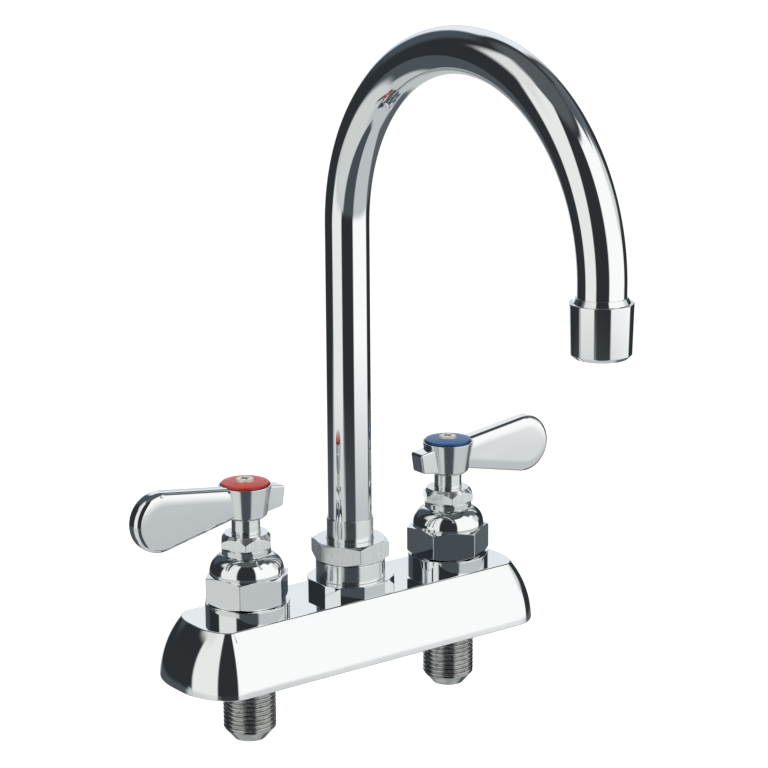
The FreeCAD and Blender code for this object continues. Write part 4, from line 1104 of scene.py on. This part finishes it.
def gooseneck_shell(sizes, foot, end):
    """Riser, half-circle arch and drop of the tube, outside and bore."""
    around, bend_steps, riser_steps = 96, 144, 8
    bend_radius = sizes.reach / 2
    stations = []
    for step in range(riser_steps):
        height = foot + (sizes.arch_height - foot) * step / riser_steps
        stations.append((Vector((0, 0, height)), Vector((0, 1, 0))))
    for step in range(bend_steps + 1):
        angle = math.pi * step / bend_steps
        outward = Vector((0, math.cos(angle), math.sin(angle)))
        stations.append((Vector((0, -bend_radius, sizes.arch_height)) + outward * bend_radius, outward))
    stations.append((Vector((0, -sizes.reach, end)), Vector((0, -1, 0))))
    sideways = Vector((1, 0, 0))
    columns = []
    for radius, facing, path in ((sizes.tube_radius, 1, stations),
                                 (sizes.tube_radius - sizes.tube_wall, -1, list(reversed(stations)))):
        for centre, outward in path:
            column = []
            for step in range(around):
                angle = FULL_TURN * step / around
                direction = outward * math.cos(angle) - sideways * math.sin(angle)
                column.append((centre + direction * radius, direction * facing))
            columns.append(column)
    points, normals, faces = skin(columns)
    return points, normals, [tuple(reversed(face)) for face in faces]


class FAUCET_OT_gooseneck(bpy.types.Operator):
    """Build the bent tube and the sleeve at its foot."""
    bl_idname = "faucet.gooseneck"
    bl_label = "Gooseneck"

    def execute(self, context):
        sizes = in_mm(context.scene.faucet_spout)
        finishes = context.scene.faucet_finishes
        low, high = box_mm("spout_ferrule")
        bore = sizes.tube_radius - sizes.tube_wall
        tube_foot = box_mm("spout_tube")[0].z
        tube_end = box_mm("outlet_bush")[0].z + BUSH_LEDGE
        shell = gooseneck_shell(sizes, tube_foot, tube_end)
        make_piece("gooseneck", shell, "spout", "spout_tube",
                   chrome_plate_drawn(finishes))
        foot_radius, groove, flange = 10.8, 9.7, 12.5
        seal_foot, seal_top, flange_foot, flange_top = (low.z + rise for rise in (4.0, 6.4, 11.0, 12.2))
        section = softened([
            (bore, low.z, BROKEN), (foot_radius, low.z, 0.4), (foot_radius, seal_foot, CRISP),
            (groove, seal_foot, CRISP), (groove, seal_top, CRISP), (foot_radius, seal_top, CRISP),
            (foot_radius, flange_foot, CRISP), (flange, flange_foot, CRISP), (flange, flange_top, CRISP),
            (sizes.sleeve_radius, flange_top, CRISP), (sizes.sleeve_radius, high.z, 0.25),
            (sizes.tube_radius, high.z, CRISP), (sizes.tube_radius, tube_foot, CRISP),
            (bore, tube_foot, CRISP),
        ])
        make_piece("spout_sleeve", turned(section, Vector()), "spout", "spout_ferrule",
                   chrome_plate_turned(finishes))
        return {"FINISHED"}


class FAUCET_OT_outlet(bpy.types.Operator):
    """Build the flared bush and the aerator's shell."""
    bl_idname = "faucet.outlet"
    bl_label = "Outlet"

    def execute(self, context):
        sizes = in_mm(context.scene.faucet_spout)
        finishes = context.scene.faucet_finishes
        axis = Vector((0, -sizes.reach, 0))
        low, high = box_mm("outlet_bush")
        bore = sizes.tube_radius - sizes.tube_wall
        rim, brim = high.z - sizes.flare_height, 0.35
        section = softened([
            (bore, low.z, BROKEN), (sizes.bush_radius, low.z, EASED), (sizes.bush_radius, rim, 0.4),
            (sizes.tube_radius + brim, high.z, 0.15), (sizes.tube_radius, high.z, 0.05),
            (sizes.tube_radius, low.z + BUSH_LEDGE, CRISP), (bore, low.z + BUSH_LEDGE, CRISP),
        ])
        make_piece("outlet_flare", turned(section, axis), "spout", "outlet_bush",
                   chrome_plate_drawn(finishes))
        low, high = box_mm("aerator_shell")
        ledge, ledge_top, shell_bore, mixer_top = 8.2, low.z + 1.0, 9.4, low.z + 9.8
        section = softened([
            (ledge, low.z, BROKEN), (sizes.aerator_foot - sizes.aerator_chamfer, low.z, EASED),
            (sizes.aerator_foot, low.z + sizes.aerator_chamfer, 0.5), (sizes.aerator_top, high.z, 0.4),
            (sizes.bush_radius, high.z, BROKEN), (sizes.bush_radius, mixer_top, BROKEN),
            (shell_bore, mixer_top, BROKEN), (shell_bore, ledge_top, BROKEN), (ledge, ledge_top, BROKEN),
        ])
        make_piece("aerator_outer_shell", turned(section, axis), "spout", "aerator_shell",
                   chrome_plate_drawn(finishes))
        return {"FINISHED"}


class FAUCET_OT_inner_finishes(bpy.types.Operator):
    """Give the packed pieces that keep their own meshes their finishes."""
    bl_idname = "faucet.inner_finishes"
    bl_label = "Inner finishes"

    def execute(self, context):
        finishes = inner_finishes()
        stem_chrome = chrome_plate_turned(context.scene.faucet_finishes)
        for name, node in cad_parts.items():
            ending = name.split("_", 1)[1] if name.startswith(SIDES) else name
            material = stem_chrome if ending == "stem" else finishes.get(ending)
            if material:
                node.data.materials.clear()
                node.data.materials.append(material)
        return {"FINISHED"}


# The studio. Azimuths are measured from the camera towards its right, in degrees

ROOM = "#2F3235"
# Name, azimuth from and to, elevation from and to, softness of the edge, colour and level. A later panel
# hangs in front of an earlier one. One that goes past a pole or right round has no edge there
TENT = (
    ("ceiling", -360, 360, 62, 180, 12, "#5A5E61", 1.0),
    # Below the horizon the tent paints the table as a dim mirror: the lighter band on the left is a painted
    # reflection of the left softbox, and the bands in shade are painted reflections of the black cards
    ("table", -360, 360, -180, -13, 3, "#C6CACB", 1.0),
    ("table, painted reflection of the left softbox", -90, -22, -62, -17, 8, "#D8DAD8", 1.0),
    ("table in shade, far left", -158, -92, -50, -13, 8, "#50575C", 1.0),
    ("table in shade, front", -20, 32, -74, -13, 6, "#4A5156", 1.0),
    ("table in shade, right", 114, 166, -56, -13, 9, "#5C6368", 1.0),
    ("black card, left", -156, -88, -15.5, 12, 3, "#303336", 1.0),
    ("black card, front", -29, 30, -15.5, 40, 3, "#2F3235", 1.0),
    ("black card, right", 115, 163, -15.5, 24, 3, "#303336", 1.0),
    ("back sheet", 165, 206, -17, 50, 9, "#CBD3DE", 1.0),
    ("back sheet, upper part", 158, 206, 16, 50, 9, "#F3F6F9", 1.0),
    ("foot of the back sheet", 164, 208, -17, 7, 7, "#FFFFFF", 1.1),
    ("grey card, left", -156, -122, 12, 52, 14, "#4B545C", 1.0),
    ("softbox, left", -80, -28, -15, 64, 4, "#EDEEEB", 1.08),
    ("softbox, left wing", -102, -60, 33, 66, 13, "#E9EAE7", 1.0),
    ("softbox, right", 30, 113, -14.5, 56, 5, "#FBFBFA", 1.14),
    ("softbox, right wing", 100, 123, 6, 30, 10, "#DFE1E2", 1.0),
    ("grey card, right", 112, 152, 26, 52, 12, "#656B70", 1.0),
    ("grey card, top right", 95, 130, 40, 60, 7, "#5A6065", 1.0),
)


def edge_share(distance, softness):
    """How much of a panel shows at a distance inside its edge, from none to all."""
    share = min(max(distance / softness + 0.5, 0.0), 1.0)
    return share * share * (3 - 2 * share)


def tent_colour(azimuth, elevation):
    """Colour of the studio in one direction, in degrees."""
    seen = Vector(linear(ROOM))
    for _, start, end, low, high, softness, hex_colour, level in TENT:
        middle, half = (start + end) / 2, (end - start) / 2
        off_middle = abs((azimuth - middle + 180) % 360 - 180)
        share = edge_share(half - off_middle, softness)
        share *= edge_share(elevation - low, softness) * edge_share(high - elevation, softness)
        seen = seen.lerp(Vector(linear(hex_colour)) * level, share)
    return seen


def studio_axes(studio):
    """Unit vectors towards the camera, to its right and up, before its roll."""
    azimuth, elevation = studio.azimuth, studio.elevation
    back = Vector((math.sin(azimuth) * math.cos(elevation), -math.cos(azimuth) * math.cos(elevation),
                   math.sin(elevation)))
    right = Vector((math.cos(azimuth), math.sin(azimuth), 0))
    return back, right, back.cross(right)


def add_stage_object(name, mesh, material):
    """Add a mesh of the studio that is no part of the faucet."""
    mesh.materials.append(material)
    thing = bpy.data.objects.new(name, mesh)
    bpy.context.scene.collection.objects.link(thing)
    return thing


def seen_directly(tree):
    """One for rays from the camera, off a mirror or through glass, and none for the others."""
    path = add_node(tree, "ShaderNodeLightPath").outputs
    glossy = add_node(tree, "ShaderNodeMath", {
        0: path["Is Camera Ray"], 1: path["Is Glossy Ray"]}, operation="ADD", use_clamp=True)
    return add_node(tree, "ShaderNodeMath", {
        0: glossy.outputs[0], 1: path["Is Transmission Ray"]}, operation="ADD", use_clamp=True).outputs[0]


def add_tent(studio):
    """Softboxes and cards round the faucet, which only its shiny surfaces see."""
    back, right, _ = studio_axes(studio)
    towards = Vector((back.x, back.y, 0)).normalized()
    around, up_steps = studio.tent_steps, studio.tent_steps // 2
    points, faces, colours = [], [], []
    for row in range(up_steps + 1):
        elevation = math.pi * (row / up_steps - 0.5)
        for step in range(around):
            azimuth = FULL_TURN * step / around
            level = towards * math.cos(azimuth) + right * math.sin(azimuth)
            points.append((level * math.cos(elevation) + UP * math.sin(elevation)) * studio.tent_radius)
            colours += [*tent_colour(math.degrees(azimuth), math.degrees(elevation)), 1.0]
    for row in range(up_steps):
        for step in range(around):
            after = (step + 1) % around
            faces.append((row * around + step, row * around + after,
                          (row + 1) * around + after, (row + 1) * around + step))
    mesh = bpy.data.meshes.new("studio_tent")
    mesh.from_pydata(points, [], faces)
    mesh.attributes.new("panel", "FLOAT_COLOR", "POINT").data.foreach_set("color", colours)
    material = bpy.data.materials.new("studio_tent")
    material.use_nodes = True
    material.cycles.emission_sampling = "NONE"
    tree = material.node_tree
    tree.nodes.clear()
    panel = add_node(tree, "ShaderNodeAttribute", attribute_name="panel")
    glow = add_node(tree, "ShaderNodeEmission", {"Color": panel.outputs["Color"]})
    add_node(tree, "ShaderNodeOutputMaterial", {"Surface": glow.outputs[0]})
    tent = add_stage_object("studio_tent", mesh, material)
    for kind in ("camera", "diffuse", "transmission", "shadow", "volume_scatter"):
        setattr(tent, f"visible_{kind}", False)


def add_floor(studio):
    """Pale floor that reads as white, keeps the faucet's soft shadow and is clear from below."""
    reach, height, lift = 9.0, -studio.floor_drop, 0.54
    mesh = bpy.data.meshes.new("studio_floor")
    mesh.from_pydata([(-reach, -reach, height), (reach, -reach, height), (reach, reach, height),
                      (-reach, reach, height)], [], [(0, 1, 2, 3)])
    material = bpy.data.materials.new("studio_floor")
    material.use_nodes = True
    tree = material.node_tree
    tree.nodes.clear()
    matt = add_node(tree, "ShaderNodeBsdfDiffuse", {"Color": (*linear("#F4F4F4"), 1)})
    lifted = add_node(tree, "ShaderNodeMath", {0: seen_directly(tree), 1: lift}, operation="MULTIPLY")
    glow = add_node(tree, "ShaderNodeEmission", {"Color": (1, 1, 1, 1), "Strength": lifted.outputs[0]})
    both = add_node(tree, "ShaderNodeAddShader", {0: matt.outputs[0], 1: glow.outputs[0]})
    clear = add_node(tree, "ShaderNodeBsdfTransparent")
    from_below = add_node(tree, "ShaderNodeNewGeometry").outputs["Backfacing"]
    sided = add_node(tree, "ShaderNodeMixShader", {0: from_below, 1: both.outputs[0], 2: clear.outputs[0]})
    add_node(tree, "ShaderNodeOutputMaterial", {"Surface": sided.outputs[0]})
    add_stage_object("studio_floor", mesh, material).visible_glossy = False


# Name, metres towards the camera, to its right and up, side of the square in metres and watts
LAMPS = (
    ("softbox_right", 0.9, 1.1, 0.8, 1.0, 10),
    ("softbox_left", 0.9, -1.2, 0.6, 1.0, 7),
    ("softbox_top", -0.3, 0.0, 1.7, 1.2, 8),
)


def add_lamp(name, place, size, watts):
    """A square softbox aimed at the middle of the faucet, which its shiny surfaces do not see."""
    light = bpy.data.lights.new(name, "AREA")
    light.size = size
    light.energy = watts
    lamp = bpy.data.objects.new(name, light)
    bpy.context.scene.collection.objects.link(lamp)
    middle = Vector((0, -0.05, 0.1))
    aimed = (middle - place).to_track_quat("-Z", "Y").to_matrix().to_4x4()
    lamp.matrix_world = Matrix.Translation(place) @ aimed
    lamp.visible_glossy = False


def add_world():
    """White round about, and an even soft light on what is not shiny."""
    world = bpy.data.worlds.new("studio_world")
    bpy.context.scene.world = world
    world.use_nodes = True
    tree = world.node_tree
    tree.nodes.clear()
    soft_level = 0.55
    level = add_node(tree, "ShaderNodeMapRange", {
        "Value": seen_directly(tree), "To Min": soft_level, "To Max": 1.0})
    sky = add_node(tree, "ShaderNodeBackground", {"Color": (1, 1, 1, 1), "Strength": level.outputs[0]})
    add_node(tree, "ShaderNodeOutputWorld", {"Surface": sky.outputs[0]})


def add_camera(studio):
    """The camera at the photograph's angle."""
    back, right, up = studio_axes(studio)
    roll_right = right * math.cos(studio.roll) + up * math.sin(studio.roll)
    roll_up = up * math.cos(studio.roll) - right * math.sin(studio.roll)
    aim = Vector((studio.aim_x, 0, studio.aim_z))
    camera = bpy.data.objects.new("studio_camera", bpy.data.cameras.new("studio_camera"))
    bpy.context.scene.collection.objects.link(camera)
    turn = Matrix((roll_right, roll_up, back)).transposed().to_4x4()
    camera.matrix_world = Matrix.Translation(aim + back * studio.distance) @ turn
    camera.data.lens = studio.lens
    camera.data.sensor_width = 36.0
    bpy.context.scene.camera = camera


class FAUCET_OT_studio(bpy.types.Operator):
    """Build the floor, the lamps, the tent of softboxes, the world and the camera."""
    bl_idname = "faucet.studio"
    bl_label = "Studio"

    def execute(self, context):
        studio = context.scene.faucet_studio
        add_camera(studio)
        add_tent(studio)
        add_floor(studio)
        back, right, _ = studio_axes(studio)
        for name, nearer, rightward, higher, size, watts in LAMPS:
            add_lamp(name, back * nearer + right * rightward + UP * higher, size, watts)
        add_world()
        context.scene.view_settings.view_transform = "Standard"
        return {"FINISHED"}


# The add-on

GROUPS = {
    "faucet_casting": FaucetCasting,
    "faucet_valves": FaucetValves,
    "faucet_levers": FaucetLevers,
    "faucet_spout": FaucetSpout,
    "faucet_finishes": FaucetFinishes,
    "faucet_studio": FaucetStudio,
}
OPERATORS = (
    FAUCET_OT_casting, FAUCET_OT_shanks, FAUCET_OT_bonnets, FAUCET_OT_packing_nuts, FAUCET_OT_levers,
    FAUCET_OT_caps, FAUCET_OT_screws, FAUCET_OT_neck, FAUCET_OT_gooseneck, FAUCET_OT_outlet,
    FAUCET_OT_inner_finishes, FAUCET_OT_studio,
)


class FAUCET_PT_builder(bpy.types.Panel):
    """Lists the faucet's operators and their sizes."""
    bl_idname = "FAUCET_PT_builder"
    bl_label = "Bar sink faucet"
    bl_space_type = "VIEW_3D"
    bl_region_type = "UI"
    bl_category = "Faucet"

    def draw(self, context):
        for operator in OPERATORS:
            self.layout.operator(operator.bl_idname)
        for name, group in GROUPS.items():
            box = self.layout.box()
            box.label(text=group.__doc__)
            for prop in group.__annotations__:
                box.prop(getattr(context.scene, name), prop)


def register():
    """Register the property groups, the operators and the panel."""
    for name, group in GROUPS.items():
        bpy.utils.register_class(group)
        setattr(bpy.types.Scene, name, PointerProperty(type=group))
    for item in (*OPERATORS, FAUCET_PT_builder):
        bpy.utils.register_class(item)


def unregister():
    """Take everything out again."""
    for item in (FAUCET_PT_builder, *reversed(OPERATORS)):
        bpy.utils.unregister_class(item)
    for name, group in GROUPS.items():
        delattr(bpy.types.Scene, name)
        bpy.utils.unregister_class(group)


def main():
    """Build the faucet."""
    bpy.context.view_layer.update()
    register()
    for operator in OPERATORS:
        group, name = operator.bl_idname.split(".")
        getattr(getattr(bpy.ops, group), name)()


if __name__ == "__main__":
    main()
